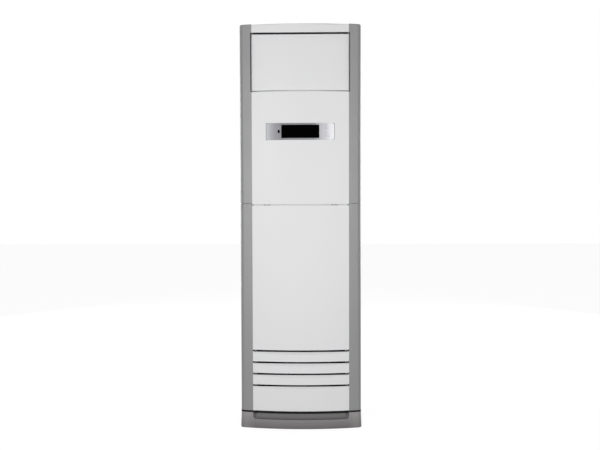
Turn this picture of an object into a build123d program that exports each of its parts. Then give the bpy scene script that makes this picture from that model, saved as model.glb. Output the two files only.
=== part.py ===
"""Floor standing air conditioner: one solid or group of like solids per named piece.

Millimetres, +Z up. The front faces -Y, x = 0 is the plane of symmetry and z = 0 the floor.
"""
import os
from math import asin, atan2, cos, degrees, hypot, pi, radians, sin, sqrt, tan

from build123d import *

# ---- overall size -------------------------------------------------------------------------
HEIGHT = 1802.0
HALF_W = 270.0                 # cabinet half width
FRONT_Y = -190.0               # foremost line of the bowed front
REAR_Y = 193.0                 # outer side of the screw heads on the rear sheet
BOW_R = 1300.0                 # radius of the bowed front in plan
CORNER_R = 20.0                # upright corner between front and side
AXIS_Y = FRONT_Y + BOW_R       # the bow's upright axis
GAP = 0.3                      # gap between pieces that are clipped side by side
RUN = 0.08                     # radial play of a pin that turns in its bore
REACH = 400.0                  # cuts run this far past the cabinet's middle
SWEEP_SPARE, SWEEP_D = 20.0, 60.0  # a turned piece is this much wider than the cabinet, at this depth

# ---- heights of the joint lines -----------------------------------------------------------
PLINTH_H = 72.5
BODY_Z0 = 78.0                 # lower edge of panel, pillars and sheets
SEAM_Z = 1001.5                # middle of the open seam between the two white panels
SEAM_GAP = 4.0
PILLAR_SEAM_Z = SEAM_Z + 6.5
PILLAR_RISE = 2.0              # the pillars end this far above the cover
COVER_H = 40.0
COVER_Z0 = HEIGHT - PILLAR_RISE - COVER_H
ARCH_R = 5200.0                # rising curve of the cover's lower edge and the door's upper edge
DOOR_H = 245.0
DOOR_Z1 = COVER_Z0 - 5.0
DOOR_Z0 = DOOR_Z1 - DOOR_H
DISPLAY_Z1 = DOOR_Z0 - 7.0
SLOTS, SLOT_PITCH = 4, 52.0
SLOT_LOW_Z = 197.5             # upper edge of the lowest slot
SLOT_TOP_Z = [SLOT_LOW_Z + SLOT_PITCH * k for k in range(SLOTS)]

# ---- walls --------------------------------------------------------------------------------
SKIN = 3.0                     # moulded front panels
PILLAR_W = 54.0                # width of a pillar seen from the front
PILLAR_WALL = 2.5
PILLAR_Y1 = FRONT_Y + 80.0     # rear edge of a pillar's outer side
SHEET = 1.2
FLANK_X = HALF_W - PILLAR_W
PANEL_X = FLANK_X - GAP        # half width of the panels between the pillars
SHEET_IN = HALF_W - SHEET
REAR_SHEET_Y = REAR_Y - 2.0    # outer face of the rear sheet
REAR_IN = REAR_SHEET_Y - SHEET

# ---- outlet -------------------------------------------------------------------------------
DOOR_RECESS = 16.0
DOOR_T = 5.0
DOOR_X = FLANK_X + 2.0         # the door's edges run in pockets of the pillars
SIDE_GAP = 2.7                 # between the door's edge and the pocket
LIP_D = 11.0                   # lip in front of the pocket, beside the display panel
DOOR_TRAVEL = 245.0
DOOR_R = BOW_R - DOOR_RECESS
COLLAR_X = FLANK_X - 12.0      # inner half width of the outlet
COLLAR_Z0, COLLAR_Z1 = DOOR_Z0 + 5.0, DOOR_Z1 - 10.0
COLLAR_WALL = 3.0
BLADE_CHORD = 48.0
BLADE_Y = FRONT_Y + 51.0 + BLADE_CHORD / 2
BLADES = 4
CRANK = 12.0                   # crank arm of blades and vanes
VANE_CHORD = 44.0
VANE_Y = BLADE_Y + BLADE_CHORD / 2 + 7.0 + VANE_CHORD / 2
VANES = 6
VANE_PITCH = (2 * COLLAR_X - 12.0) / VANES
COLLAR_Y1 = VANE_Y + VANE_CHORD / 2 + 4.0
FRAME_X = FLANK_X + 24.0       # half width of the outlet frame's front plate
FRAME_T = 3.0

# ---- rails of the door, in the upper pillars ------------------------------------------------
RAIL_W, RAIL_D, RAIL_WALL, RAIL_SLOT = 11.0, 8.5, 1.5, 4.0
RAIL_Y0 = AXIS_Y - sqrt((DOOR_R - DOOR_T) ** 2 - DOOR_X ** 2) + 0.7
RAIL_Z0, RAIL_Z1 = DOOR_Z0 - DOOR_TRAVEL - 7.0, DOOR_Z1 - 3.0
FLANK_Y = RAIL_Y0 + RAIL_D + 0.2   # rear edge of a pillar's inner flank

# ---- door drive ---------------------------------------------------------------------------
MODULE = 2.0
PINION_TEETH = 12
PINION_R = MODULE * PINION_TEETH / 2
PINION_Z = DOOR_Z0 - 20.0
RACK_W = 9.0
RACK_X1 = COLLAR_X - 4.5
RACK_X0 = RACK_X1 - RACK_W
BACKLASH = 0.35

# ---- fan ----------------------------------------------------------------------------------
FAN_Z = 420.0
FAN_R = 165.0
FAN_BLADES = 36
WALL_Y = -12.0                 # front face of the upright partition
SCROLL_Y0 = WALL_Y + 4.0
FAN_Y0 = SCROLL_Y0 + 6.0
FAN_Y1 = FAN_Y0 + 112.0
SCROLL_Y1 = FAN_Y1 + 10.0
SHAFT_R = 6.0
DECK_Z = FAN_Z + 260.0
EBOX_H = 184.0
SHELF_Z = DECK_Z + EBOX_H + 81.0

# ---- evaporator (side view points are y, z) -------------------------------------------------
PAN_Y0 = FRONT_Y + 60.0
PAN_H = 40.0
PAN_Z1 = SHELF_Z + PAN_H
COIL_LOW = (PAN_Y0 + 35.0, SHELF_Z + 27.0)
COIL_TOP = (REAR_IN - 94.8, DOOR_Z0 - 110.0)
COIL_T = 50.0
COIL_X = HALF_W - 50.0
TUBE_R = 4.76
GAS_R = 7.94

# ---- drain ---------------------------------------------------------------------------------
DRAIN_X, DRAIN_Y, DRAIN_Z = 15.0 - COIL_X, PAN_Y0 + 70.0, 140.0
DRAIN_R = 8.0
DRAIN_BORE_L = 30.0            # wider bore at the hose's end

# ---- display ------------------------------------------------------------------------------
BEZEL_X = 152.0
BEZEL_H = 74.5
BEZEL_Z1 = DISPLAY_Z1 - 139.5
BEZEL_Z0 = BEZEL_Z1 - BEZEL_H
LENS_X = 84.0
LENS_Z0, LENS_Z1 = BEZEL_Z0 + 8.2, BEZEL_Z1 - 7.7
EYE_W, EYE_H = 9.5, 14.0
EYE_X1 = -LENS_X - 6.5
EYE_X0 = EYE_X1 - EYE_W
EYE_Z0 = BEZEL_Z0 + 30.5
EYE_Z1 = EYE_Z0 + EYE_H
BUTTON_X = LENS_X + 28.0
BUTTON_DROP = {"power": 10.0, "mode": 23.5, "fan_speed": 40.7, "swing": 56.2}
BUTTON_W, BUTTON_H = 12.0, 6.0
BUTTON_TRAVEL = 0.6
BOARD_Y0 = FRONT_Y + 12.0
BOARD_T = 1.6
LAMP_X, LAMP_Z, LAMP_R = BUTTON_X + 15.0, BEZEL_Z0 + 15.6, 1.6
BOARD_X0, BOARD_X1 = EYE_X0 - 8.0, LAMP_X + 9.0

parts = {}


# ---- helpers ------------------------------------------------------------------------------
def block(x0, x1, y0, y1, z0, z1):
    """Box between two corners."""
    return Pos((x0 + x1) / 2, (y0 + y1) / 2, (z0 + z1) / 2) * Box(x1 - x0, y1 - y0, z1 - z0)


def rod(axis, r, start, length):
    """Cylinder of radius r along the named axis, from start."""
    turn = {"x": (0, 90, 0), "y": (-90, 0, 0), "z": (0, 0, 0)}[axis]
    low = (Align.CENTER, Align.CENTER, Align.MIN)
    return Pos(*start) * Rot(*turn) * Cylinder(r, length, align=low)


def bow_y(r, x):
    """y of the bowed surface of radius r at x."""
    return AXIS_Y - sqrt(r * r - x * x)


def turned(profile, radius):
    """Solid turned about the upright axis that lies a radius behind the front, wider than the cabinet."""
    half = degrees(asin((HALF_W + SWEEP_SPARE) / (radius - SWEEP_D)))
    axis_y = FRONT_Y + radius
    solid = revolve(profile, Axis((0, axis_y, 0), (0, 0, 1)), 2 * half)
    return Pos(0, axis_y, 0) * Rot(0, 0, -half) * Pos(0, -axis_y, 0) * solid


def ring(points, radius=BOW_R):
    """Solid turned about the bow's axis, or a flatter one; points are (depth behind the front, z)."""
    return turned(make_face(Polyline([(0, FRONT_Y + d, z) for d, z in points], close=True)), radius)


def bowed(x0, x1, depth0, depth1, z0, z1):
    """Plate that follows the bow between two depths behind the front."""
    plate = ring([(depth0, z0), (depth1, z0), (depth1, z1), (depth0, z1)])
    return plate & block(x0, x1, FRONT_Y - 5, 0, z0 - 1, z1 + 1)


def side_prism(points, x0, x1):
    """Prism along x over a (y, z) outline."""
    face = make_face(Polyline([(x0, y, z) for y, z in points], close=True))
    return extrude(face, x1 - x0, dir=(1, 0, 0))


def mirrored(shape):
    """The same piece on the other side of x = 0."""
    return mirror(shape, about=Plane.YZ)


def plan(inset, rear):
    """Cabinet outline in plan: bowed front, rounded front corners, straight sides."""
    xc = HALF_W - CORNER_R
    yc = AXIS_Y - sqrt((BOW_R - CORNER_R) ** 2 - xc * xc)
    r = CORNER_R - inset
    lean = atan2(xc, AXIS_Y - yc)
    a = (xc + r * sin(lean), yc - r * cos(lean))
    mid = (lean + pi / 2) / 2
    m = (xc + r * sin(mid), yc - r * cos(mid))
    b = (xc + r, yc)
    left = [(-x, y) for x, y in (b, m, a)]
    outline = [ThreePointArc(left[2], (0, FRONT_Y + inset), a), ThreePointArc(a, m, b),
               Line(b, (b[0], rear)), Line((b[0], rear), (-b[0], rear)), Line((-b[0], rear), left[0]),
               ThreePointArc(left[0], left[1], left[2])]
    return make_face(outline)


def keep(name, shape):
    """Store one piece for the export."""
    shape.label = name
    parts[name] = shape


# ---- plinth, pan, sheets and cover ----------------------------------------------------------
FOOT_FLARE = 3.0
ANCHOR_X, ANCHOR_Y0, ANCHOR_Y1 = HALF_W - 35.0, FRONT_Y + 70.0, REAR_SHEET_Y - 41.0
ANCHOR_R = 5.5
PLINTH_WALL = 4.0
LEDGE_Z, LEDGE_W, LEDGE_T = 71.0, 8.0, 5.0
TROUGH_R, TROUGH_IN = 28.0, 8.0    # round finger trough, its centre behind the plinth's face
TROUGH_Z = 67.0
TROUGH_SLANT = 0.55            # how much its ends draw in, per depth
TROUGH_END_R = 18.0            # rounded lower corners of its mouth
TROUGH_WALL = 3.0
TROUGH_Z1 = 62.5               # upper edge of its back wall, open to the hollow plinth above
PAN_D = TROUGH_IN + TROUGH_R + 4.0  # depth of the base pan's bowed front edge
RIB_X, RIB_T = (-150.0, -50.0, 50.0, 150.0), 3.0


def trough(grow):
    """Finger trough, grown on all sides: a circle turned about the bow's axis, with closed ends."""
    circle = Plane.YZ * Pos(FRONT_Y + TROUGH_IN, TROUGH_Z) * Circle(TROUGH_R + grow)
    mouth = Plane.XZ * Pos(0, TROUGH_Z) * RectangleRounded(
        2 * (FLANK_X + grow), 2 * (TROUGH_R + grow), TROUGH_END_R + grow)
    x, y, reach = FLANK_X + grow, bow_y(BOW_R, FLANK_X), 40.0
    wide, narrow = x + TROUGH_SLANT * reach, x - TROUGH_SLANT * reach
    corners = [(-wide, y - reach), (wide, y - reach), (narrow, y + reach), (-narrow, y + reach)]
    wedge = extrude(make_face(Polyline(*corners, close=True)), 2 * TROUGH_Z, dir=(0, 0, 1))
    return turned(circle, BOW_R) & (extrude(mouth, REACH, both=True) & wedge)


def make_plinth():
    """Hollow plinth with flared foot, finger trough, stiffening ribs, ledge and four anchor feet."""
    lean = degrees(atan2(FOOT_FLARE, PLINTH_H))
    body = extrude(plan(0, REAR_SHEET_Y), PLINTH_H, dir=(0, 0, -1), taper=-lean)
    body = Pos(0, 0, PLINTH_H) * body
    body &= block(-REACH, REACH, -REACH, REAR_SHEET_Y, 0, PLINTH_H)
    rear = REAR_SHEET_Y - PLINTH_WALL
    ledge = extrude(plan(PLINTH_WALL - 1, rear + 1), LEDGE_Z)
    ledge -= extrude(plan(PLINTH_WALL + LEDGE_W, rear - LEDGE_W), LEDGE_Z)
    ledge &= block(-HALF_W, HALF_W, FRONT_Y + PAN_D, REAR_Y, LEDGE_Z - LEDGE_T, LEDGE_Z)
    bar_x = HALF_W - PLINTH_WALL - 1
    ledge += bowed(-bar_x, bar_x, PAN_D + 2, PAN_D + 2 + LEDGE_W, LEDGE_Z - LEDGE_T, LEDGE_Z)
    bowl = body & trough(TROUGH_WALL) & block(-HALF_W, HALF_W, -300, 0, 0, TROUGH_Z1)
    ribs = [bowed(x - RIB_T / 2, x + RIB_T / 2, 1, TROUGH_IN + 16, 4, TROUGH_Z - TROUGH_R) for x in RIB_X]
    rebate = Pos(0, 0, LEDGE_Z) * extrude(plan(1.2, REAR_SHEET_Y - 1), PLINTH_H) & block(
        -HALF_W, HALF_W, FRONT_Y + PAN_D - 2, REAR_Y, 0, PLINTH_H)
    body = body - extrude(plan(PLINTH_WALL, rear), PLINTH_H) - rebate
    body = body + ledge + bowl + ribs - trough(0)
    for x in (-ANCHOR_X, ANCHOR_X):
        for y in (ANCHOR_Y0, ANCHOR_Y1):
            side = 1 if x > 0 else -1
            foot = block(min(x - 26, x + 32 * side), max(x + 26, x + 32 * side), y - 26, y + 26, 0, 5)
            foot &= extrude(plan(1, REAR_SHEET_Y - 1), 5)
            body = body + foot - rod("z", ANCHOR_R, (x, y, -1), 8)
    keep("base_plinth", body)


def make_base_pan():
    """Folded steel pan that rests on the plinth's ledge and carries the sheets."""
    z = LEDGE_Z
    x, y1 = SHEET_IN - 0.2, REAR_IN - 0.2
    pan = block(-x, x, PILLAR_Y1, y1, z, z + SHEET)
    pan += bowed(-FLANK_X, FLANK_X, PAN_D, PILLAR_Y1 - FRONT_Y + 5, z, z + SHEET)
    pan += bowed(-FLANK_X, FLANK_X, PAN_D, PAN_D + SHEET, z, z + 24)
    for x0, x1 in ((-x, -x + SHEET), (x - SHEET, x)):
        pan += block(x0, x1, PILLAR_Y1, y1, z, z + 34)
    pan += block(-x, x, y1 - SHEET, y1, z, z + 24)
    keep("base_pan", pan)


PIPE_X0 = COIL_X - 6.0         # pipes and drain leave through notches that the side sheets close
PIPE_Z0, PIPE_Z1 = BODY_Z0 + 20.0, BODY_Z0 + 108.0
LIP = 16.0                     # folded edge of the side sheets
SCREW_ROWS = 5
SCREW_Z0, SCREW_Z1 = PIPE_Z1 + 44.0, COVER_Z0 - 50.0
REAR_SCREW_Z = [SCREW_Z0 + k * (SCREW_Z1 - SCREW_Z0) / (SCREW_ROWS - 1) for k in range(SCREW_ROWS)]
REAR_SCREW_X = SHEET_IN - 9.0
HEAD_R, SHANK_R = 4.0, 2.0


def make_sheets():
    """Side sheets with folded edges, the rear sheet with its two notches, and their screws."""
    x1 = SHEET_IN
    sheet = block(x1, HALF_W, PILLAR_Y1 + 0.2, REAR_SHEET_Y, BODY_Z0, COVER_Z0)
    sheet += block(x1 - LIP, x1, PILLAR_Y1 + 0.2, PILLAR_Y1 + 0.2 + SHEET, BODY_Z0 + 30, COVER_Z0 - 30)
    sheet += block(x1 - LIP, x1, REAR_IN - SHEET, REAR_IN, BODY_Z0 + 30, COVER_Z0 - 20)
    rear = block(-x1 + 0.2, x1 - 0.2, REAR_IN, REAR_SHEET_Y, BODY_Z0, COVER_Z0)
    for left, right in ((PIPE_X0, HALF_W), (-HALF_W, DRAIN_X + DRAIN_R + 10)):
        rear -= block(left, right, REAR_IN - 1, REAR_Y, PIPE_Z0, PIPE_Z1)
    sheet -= block(x1 - LIP - 1, x1, REAR_IN - 2, REAR_IN + 0.1, BODY_Z0, PIPE_Z1 + 4)
    heads = []
    for z in REAR_SCREW_Z:
        sheet -= rod("y", SHANK_R, (REAR_SCREW_X, REAR_IN - 5, z), 6)
        for x in (-REAR_SCREW_X, REAR_SCREW_X):
            rear -= rod("y", SHANK_R, (x, REAR_IN - 1, z), 4)
            heads.append(rod("y", HEAD_R, (x, REAR_SHEET_Y, z), REAR_Y - REAR_SHEET_Y)
                         + rod("y", SHANK_R, (x, REAR_SHEET_Y - 8, z), 8))
    keep("side_panel_right", sheet)
    keep("side_panel_left", mirrored(sheet))
    keep("rear_panel", rear)
    keep("cabinet_screws", Compound(children=heads))


TIE_Z, TIE_W, TIE_H, TIE_SPACING, TIE_R = COVER_Z0 - 70.0, 120.0, 34.0, 80.0, 3.5


def make_anti_tip_plate():
    """Flat plate on the rear sheet with two holes for the wall anchors."""
    plate = block(-TIE_W / 2, TIE_W / 2, REAR_SHEET_Y, REAR_Y, TIE_Z - TIE_H / 2, TIE_Z + TIE_H / 2)
    for x in (-TIE_SPACING / 2, TIE_SPACING / 2):
        plate -= rod("y", TIE_R, (x, REAR_SHEET_Y - 1, TIE_Z), 4)
        parts["rear_panel"] -= rod("y", TIE_R + 1, (x, REAR_IN - 1, TIE_Z), 4)
    parts["rear_panel"].label = "rear_panel"
    keep("anti_tip_bracket", plate)


def make_top_cover():
    """Cover over the whole cabinet whose front comes down between the pillars."""
    round_over = 5.0
    wall = 3.0
    y1 = PILLAR_Y1 + 0.4

    def outline(inset):
        front = plan(inset, REAR_SHEET_Y - inset)
        front = extrude(front, COVER_H)
        sides = [block(s * (FLANK_X - GAP - inset), s * (HALF_W + 5), -300, y1 + inset, -1, 99)
                 if s > 0 else block(-HALF_W - 5, -(FLANK_X - GAP - inset), -300, y1 + inset, -1, 99)
                 for s in (-1, 1)]
        return front - sides[0] - sides[1]

    cover = outline(0)
    top = cover.faces().sort_by(Axis.Z)[-1]
    cover = fillet(top.outer_wire().edges(), round_over)
    cover -= Pos(0, 0, -wall) * outline(wall)
    arch = block(-FLANK_X, FLANK_X, -300, PILLAR_Y1, -1, 5) - rod("y", ARCH_R, (0, -REACH, ARCH_R), 2 * REACH)
    keep("top_cover", Pos(0, 0, COVER_Z0) * (cover - arch))


# ---- pillars -------------------------------------------------------------------------------
FILTER_X = FLANK_X - 11.0
FILTER_T = 4.0
FILTER_Y0 = FRONT_Y + 32.0
FILTER_Y1 = FILTER_Y0 + FILTER_T
FILTER_Z0, FILTER_Z1 = SLOT_TOP_Z[0] - 64.0, SLOT_TOP_Z[-1] + 50.0
GUIDE_Z0, GUIDE_Z1 = FILTER_Z0 - 8.0, FILTER_Z1 + 25.0


def pillar_solid(z0, z1, rounded):
    """Right hand pillar: front strip, rounded corner and side, open behind."""
    solid = extrude(plan(0, PILLAR_Y1), z1 - z0) & block(FLANK_X, HALF_W + 1, -300, 300, -1, z1 - z0)
    if rounded:
        rim = [e for e in solid.faces().sort_by(Axis.Z)[-1].outer_wire().edges()
               if e.center().Y < PILLAR_Y1 - 1 and e.center().X > FLANK_X + 1]
        solid = fillet(rim, 5.0)
    core = extrude(plan(PILLAR_WALL, 0), z1 - z0 - PILLAR_WALL) & block(
        FLANK_X + PILLAR_WALL, HALF_W, -300, 300, -1, z1 - z0)
    solid = solid - core - block(FLANK_X - 1, FLANK_X + PILLAR_WALL + 0.01, FLANK_Y, 0, -1, z1 - z0 + 1)
    return Pos(0, 0, z0) * solid


def add_pocket(pillar):
    """Pillar with a pocket for the door's edge, open in front beside the closed door."""
    x, y = DOOR_X + SIDE_GAP, RAIL_Y0
    z0, z1 = DOOR_Z0 - DOOR_TRAVEL - 5, COVER_Z0 + FLANK_X ** 2 / (2 * ARCH_R)
    wall = PILLAR_WALL
    walls = block(FLANK_X, x + wall, -300, y + wall, z0 - wall, z1 + wall) & extrude(plan(0, 0), HEIGHT)
    lip_y = bow_y(BOW_R - LIP_D, FLANK_X)
    behind = block(FLANK_X - 1, x, lip_y, y, z0, z1)
    beside = block(FLANK_X - 1, x, -300, y, DISPLAY_Z1, z1)
    return pillar + walls - (behind + beside)


def make_pillars():
    """Four pillars; the upper pair carries the door's rails, the lower pair the filter's guides."""
    upper = add_pocket(pillar_solid(PILLAR_SEAM_Z + 0.8, HEIGHT, True))
    rail = block(FLANK_X - RAIL_W, FLANK_X, RAIL_Y0, RAIL_Y0 + RAIL_D, RAIL_Z0, RAIL_Z1)
    rail -= block(FLANK_X - RAIL_W + RAIL_WALL, FLANK_X - RAIL_WALL, RAIL_Y0 + RAIL_WALL,
                  RAIL_Y0 + RAIL_D - RAIL_WALL, RAIL_Z0 - 1, RAIL_Z1 + 1)
    mid = FLANK_X - RAIL_W / 2
    rail -= block(mid - RAIL_SLOT / 2, mid + RAIL_SLOT / 2, RAIL_Y0 - 1, RAIL_Y0 + 2,
                  RAIL_Z0 - 1, RAIL_Z1 + 1)
    upper += rail
    lower = pillar_solid(BODY_Z0, PILLAR_SEAM_Z - 0.7, False)
    lower -= block(FLANK_X - 1, HALF_W - PILLAR_WALL, FLANK_Y, 0, SEAM_Z - 9, SEAM_Z + 9)
    play = 0.4
    guide_x = FILTER_X - 6
    guide = block(guide_x, FLANK_X, FILTER_Y0 - play - 2, FILTER_Y0 - play, GUIDE_Z0, GUIDE_Z1)
    guide += block(guide_x, FLANK_X, FILTER_Y1 + play, FILTER_Y1 + play + 2, GUIDE_Z0, GUIDE_Z1)
    guide += block(guide_x, FLANK_X, FILTER_Y0 - play - 2, FILTER_Y1 + play + 2, GUIDE_Z0,
                   FILTER_Z0 - GAP)
    lower += guide
    keep("pillar_upper_right", upper)
    keep("pillar_upper_left", mirrored(upper))
    keep("pillar_lower_right", lower)
    keep("pillar_lower_left", mirrored(lower))


# ---- white panels --------------------------------------------------------------------------
BEVEL = 2.0
RETURN_D = 9.0                 # depth of the panels' side returns
SLOT_H = 7.5
SCOOP_H = 13.0
SCOOP_D = 12.0
SCOOP_R = 2000.0               # flatter than the front, so that the scoop tapers to the sides
SCOOP_X = FLANK_X - 5.0
HINGE_X = 150.0
HINGE_Y, HINGE_Z = FRONT_Y + 18.0, SEAM_Z - 6.5
HINGE_R = 2.0
APRON_D, SHELF_D = 6.0, 10.0    # strips that back the seam, behind the panels' front


def white_panel(z0, z1):
    """Bowed panel with bevelled long edges and side returns."""
    panel = ring([(BEVEL, z0), (0, z0 + BEVEL), (0, z1 - BEVEL), (BEVEL, z1), (SKIN, z1), (SKIN, z0)])
    panel &= block(-PANEL_X, PANEL_X, -300, 0, 0, HEIGHT)
    hem = block(PANEL_X - SKIN, PANEL_X, bow_y(BOW_R - 1, PANEL_X), bow_y(BOW_R, PANEL_X) + RETURN_D,
                z0 + 4, z1 - 4)
    hem -= ring([(-9, z0), (1, z0), (1, z1), (-9, z1)])
    panel += hem
    return panel + mirrored(hem)


def make_intake_panel():
    """Lower panel: four slots, each over a scoop that is deepest in the middle."""
    z1 = SEAM_Z - SEAM_GAP / 2
    panel = white_panel(BODY_Z0, z1)
    for top in SLOT_TOP_Z:
        low = top - SLOT_H
        cut = ring([(-20, top), (SCOOP_D + 6, top), (SCOOP_D + 6, low), (SCOOP_D, low),
                    (0, low - SCOOP_H), (-20, low - SCOOP_H)], SCOOP_R)
        ramp = ring([(SCOOP_D, low), (SCOOP_D + SKIN, low), (SKIN, low - SCOOP_H - 1),
                     (0, low - SCOOP_H)], SCOOP_R)
        limit = block(-SCOOP_X, SCOOP_X, -300, 0, low - 40, top + 1)
        inside = ring([(0.5, low - 40), (40, low - 40), (40, top), (0.5, top)])
        panel = panel - (cut & limit) + (ramp & limit & inside)
    for x in (-HINGE_X, HINGE_X):
        wall_y = bow_y(BOW_R - SKIN, abs(x) - 6) + 0.4
        for x0 in (x - 8, x + 5):
            ear = block(x0, x0 + 3, wall_y - 3, HINGE_Y + 4, HINGE_Z - 4, HINGE_Z + 4)
            ear -= ring([(-9, 0), (1, 0), (1, HEIGHT), (-9, HEIGHT)])
            panel += ear
        panel += rod("x", HINGE_R, (x - 8, HINGE_Y, HINGE_Z), 16)
    keep("intake_panel", panel)


def make_display_panel():
    """Upper panel: window for the display surround, hinge hooks, and strips that back the seam."""
    z0 = SEAM_Z + SEAM_GAP / 2
    panel = white_panel(z0, DISPLAY_Z1)
    panel -= bowed(-BEZEL_X - 0.25, BEZEL_X + 0.25, -5, 9, BEZEL_Z0 - 0.25, BEZEL_Z1 + 0.25)
    shelf_z0, shelf_z1 = z0 + 6, z0 + 8.5
    panel += bowed(-PANEL_X + 3, PANEL_X - 3, SKIN - 0.5, SHELF_D, shelf_z0, shelf_z1)
    for x0, x1 in ((-HINGE_X - 4.5, -HINGE_X + 4.5), (HINGE_X - 4.5, HINGE_X + 4.5)):
        hook = block(x0, x1, HINGE_Y - 4.5, HINGE_Y + 5, HINGE_Z - 5, shelf_z1)
        hook -= rod("x", HINGE_R + 0.1, (x0 - 1, HINGE_Y, HINGE_Z), x1 - x0 + 2)
        panel += hook
    panel += bowed(-HINGE_X + 12, HINGE_X - 12, APRON_D, APRON_D + 2, z0 - 12, shelf_z1)
    tab = bowed(HINGE_X + 12, FLANK_X - 6, APRON_D, APRON_D + 2, z0 - 12, shelf_z1)
    panel = panel + tab + mirrored(tab)
    keep("display_panel", panel)


# ---- display -------------------------------------------------------------------------------
def pill(width, height, depth, x, y, z):
    """Upright-faced pill shaped prism that runs towards +Y from y."""
    face = Plane.XZ * SlotOverall(width, height)
    return Pos(x, y, z) * extrude(face, depth, dir=(0, 1, 0))


def make_display():
    """Silver surround, one smoked lens behind it, four buttons and the board with its switches."""
    skin = 2.0
    rim = 3.0
    corner = Plane.XZ * Pos(0, (BEZEL_Z0 + BEZEL_Z1) / 2) * RectangleRounded(
        2 * BEZEL_X, BEZEL_Z1 - BEZEL_Z0, 6.0)
    bezel = bowed(-BEZEL_X - 1, BEZEL_X + 1, 0, SKIN + 1, BEZEL_Z0 - 1, BEZEL_Z1 + 1)
    bezel &= extrude(corner, 400, both=True)
    bezel += bowed(-BEZEL_X - 5, BEZEL_X + 5, SKIN, SKIN + 2, BEZEL_Z0 - 5, BEZEL_Z1 + 5)
    bezel -= bowed(-BEZEL_X + rim, BEZEL_X - rim, skin, SKIN + 5, BEZEL_Z0 + rim, BEZEL_Z1 - rim)
    for x in (BOARD_X0 + 2.8, BOARD_X1 - 5):
        for z in (BEZEL_Z0 + 6.0, BEZEL_Z1 - 5.4):
            y0 = bow_y(BOW_R - skin, x) - 0.6
            bezel += rod("y", 2.0, (x, y0, z), BOARD_Y0 - y0)
    windows = [(-LENS_X, LENS_X, LENS_Z0, LENS_Z1), (EYE_X0, EYE_X1, EYE_Z0, EYE_Z1)]
    for x0, x1, z0, z1 in windows:
        bezel -= bowed(x0, x1, -1, skin + 0.05, z0, z1)
    lens = bowed(EYE_X0 - 3, LENS_X + 4, skin + 0.05, skin + 1.6, LENS_Z0 - 3, LENS_Z1 + 3)
    for x0, x1, z0, z1 in windows:
        lens += bowed(x0 + 0.15, x1 - 0.15, 0.2, skin + 0.1, z0 + 0.15, z1 - 0.15)
    board = block(BOARD_X0, BOARD_X1, BOARD_Y0, BOARD_Y0 + BOARD_T, BEZEL_Z0 + 4, BEZEL_Z1 - 3)
    board += block(-76, 76, BOARD_Y0 - 4.5, BOARD_Y0, LENS_Z0 + 4, LENS_Z1 - 4)
    front = bow_y(BOW_R, BUTTON_X)
    stop = bow_y(BOW_R - skin, BUTTON_X - 7.5) + 0.1
    stop = max(stop, bow_y(BOW_R - skin, BUTTON_X + 7.5) + 0.1)
    switch_y = stop + 1.0 + BUTTON_TRAVEL + 0.5
    for name, drop in BUTTON_DROP.items():
        z = BEZEL_Z1 - drop
        cap = pill(BUTTON_W, BUTTON_H, stop + 0.1 - (front - 0.7), BUTTON_X, front - 0.7, z)
        cap += pill(BUTTON_W + 3, BUTTON_H + 2, 1.0, BUTTON_X, stop, z)
        bezel -= pill(BUTTON_W + 0.5, BUTTON_H + 0.5, 9.0, BUTTON_X, front - 4, z)
        board += rod("y", 1.7, (BUTTON_X, switch_y, z), BOARD_Y0 - switch_y + 0.1)
        keep("button_" + name, cap)
    bezel -= rod("y", LAMP_R, (LAMP_X, FRONT_Y - 2, LAMP_Z), 12)
    board += rod("y", LAMP_R - 0.1, (LAMP_X, bow_y(BOW_R, LAMP_X) + 0.1, LAMP_Z),
                 BOARD_Y0 - bow_y(BOW_R, LAMP_X))
    keep("display_bezel", bezel)
    keep("display_lens", lens)
    keep("display_board", board)


# ---- outlet door and its drive --------------------------------------------------------------
LUG_Z = (18.0, 118.0)          # above the door's lower edge
LUG_H = 14.0


def make_door():
    """Bowed door with two T lugs a side that hang in the rails."""
    door = bowed(-DOOR_X, DOOR_X, DOOR_RECESS, DOOR_RECESS + DOOR_T, DOOR_Z0, COVER_Z0)
    door -= rod("y", ARCH_R, (0, -REACH, DOOR_Z1 + ARCH_R), 2 * REACH)
    mid = FLANK_X - RAIL_W / 2
    neck_w = RAIL_SLOT - 0.8
    head_x = RAIL_W / 2 - RAIL_WALL - 0.4
    head_y0 = RAIL_Y0 + RAIL_WALL + 0.4
    for dz in LUG_Z:
        z = DOOR_Z0 + dz
        lug = block(mid - neck_w / 2, mid + neck_w / 2, bow_y(DOOR_R - DOOR_T, mid) - 2.5, head_y0 + 1,
                    z - LUG_H / 2, z + LUG_H / 2)
        lug += block(mid - head_x, mid + head_x, head_y0, RAIL_Y0 + RAIL_D - RAIL_WALL - 0.4,
                     z - LUG_H / 2, z + LUG_H / 2)
        door += lug
        door += mirrored(lug)
    keep("outlet_door", door)


def involute_gear(teeth, module, thin):
    """Spur gear outline with involute flanks, each thinned for backlash."""
    pitch_r = module * teeth / 2
    base_r = pitch_r * cos(radians(20))
    tip_r, root_r = pitch_r + 0.9 * module, pitch_r - 1.25 * module
    half = pi / (2 * teeth) - thin / pitch_r

    def flank(r):
        roll = sqrt(max((r / base_r) ** 2 - 1, 0))
        at_pitch = tan(radians(20)) - radians(20)
        return half + at_pitch - (roll - atan2(roll, 1))

    radii = [max(base_r, root_r + 0.3) + k * (tip_r - max(base_r, root_r + 0.3)) / 4 for k in range(5)]
    points = []
    for tooth in range(teeth):
        mid = 2 * pi * tooth / teeth
        foot = flank(radii[0]) * 0.92
        side = [(root_r, foot)] + [(r, flank(r)) for r in radii]
        points += [(r * cos(mid - a), r * sin(mid - a)) for r, a in side]
        points += [(r * cos(mid + a), r * sin(mid + a)) for r, a in reversed(side)]
    return points


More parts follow.
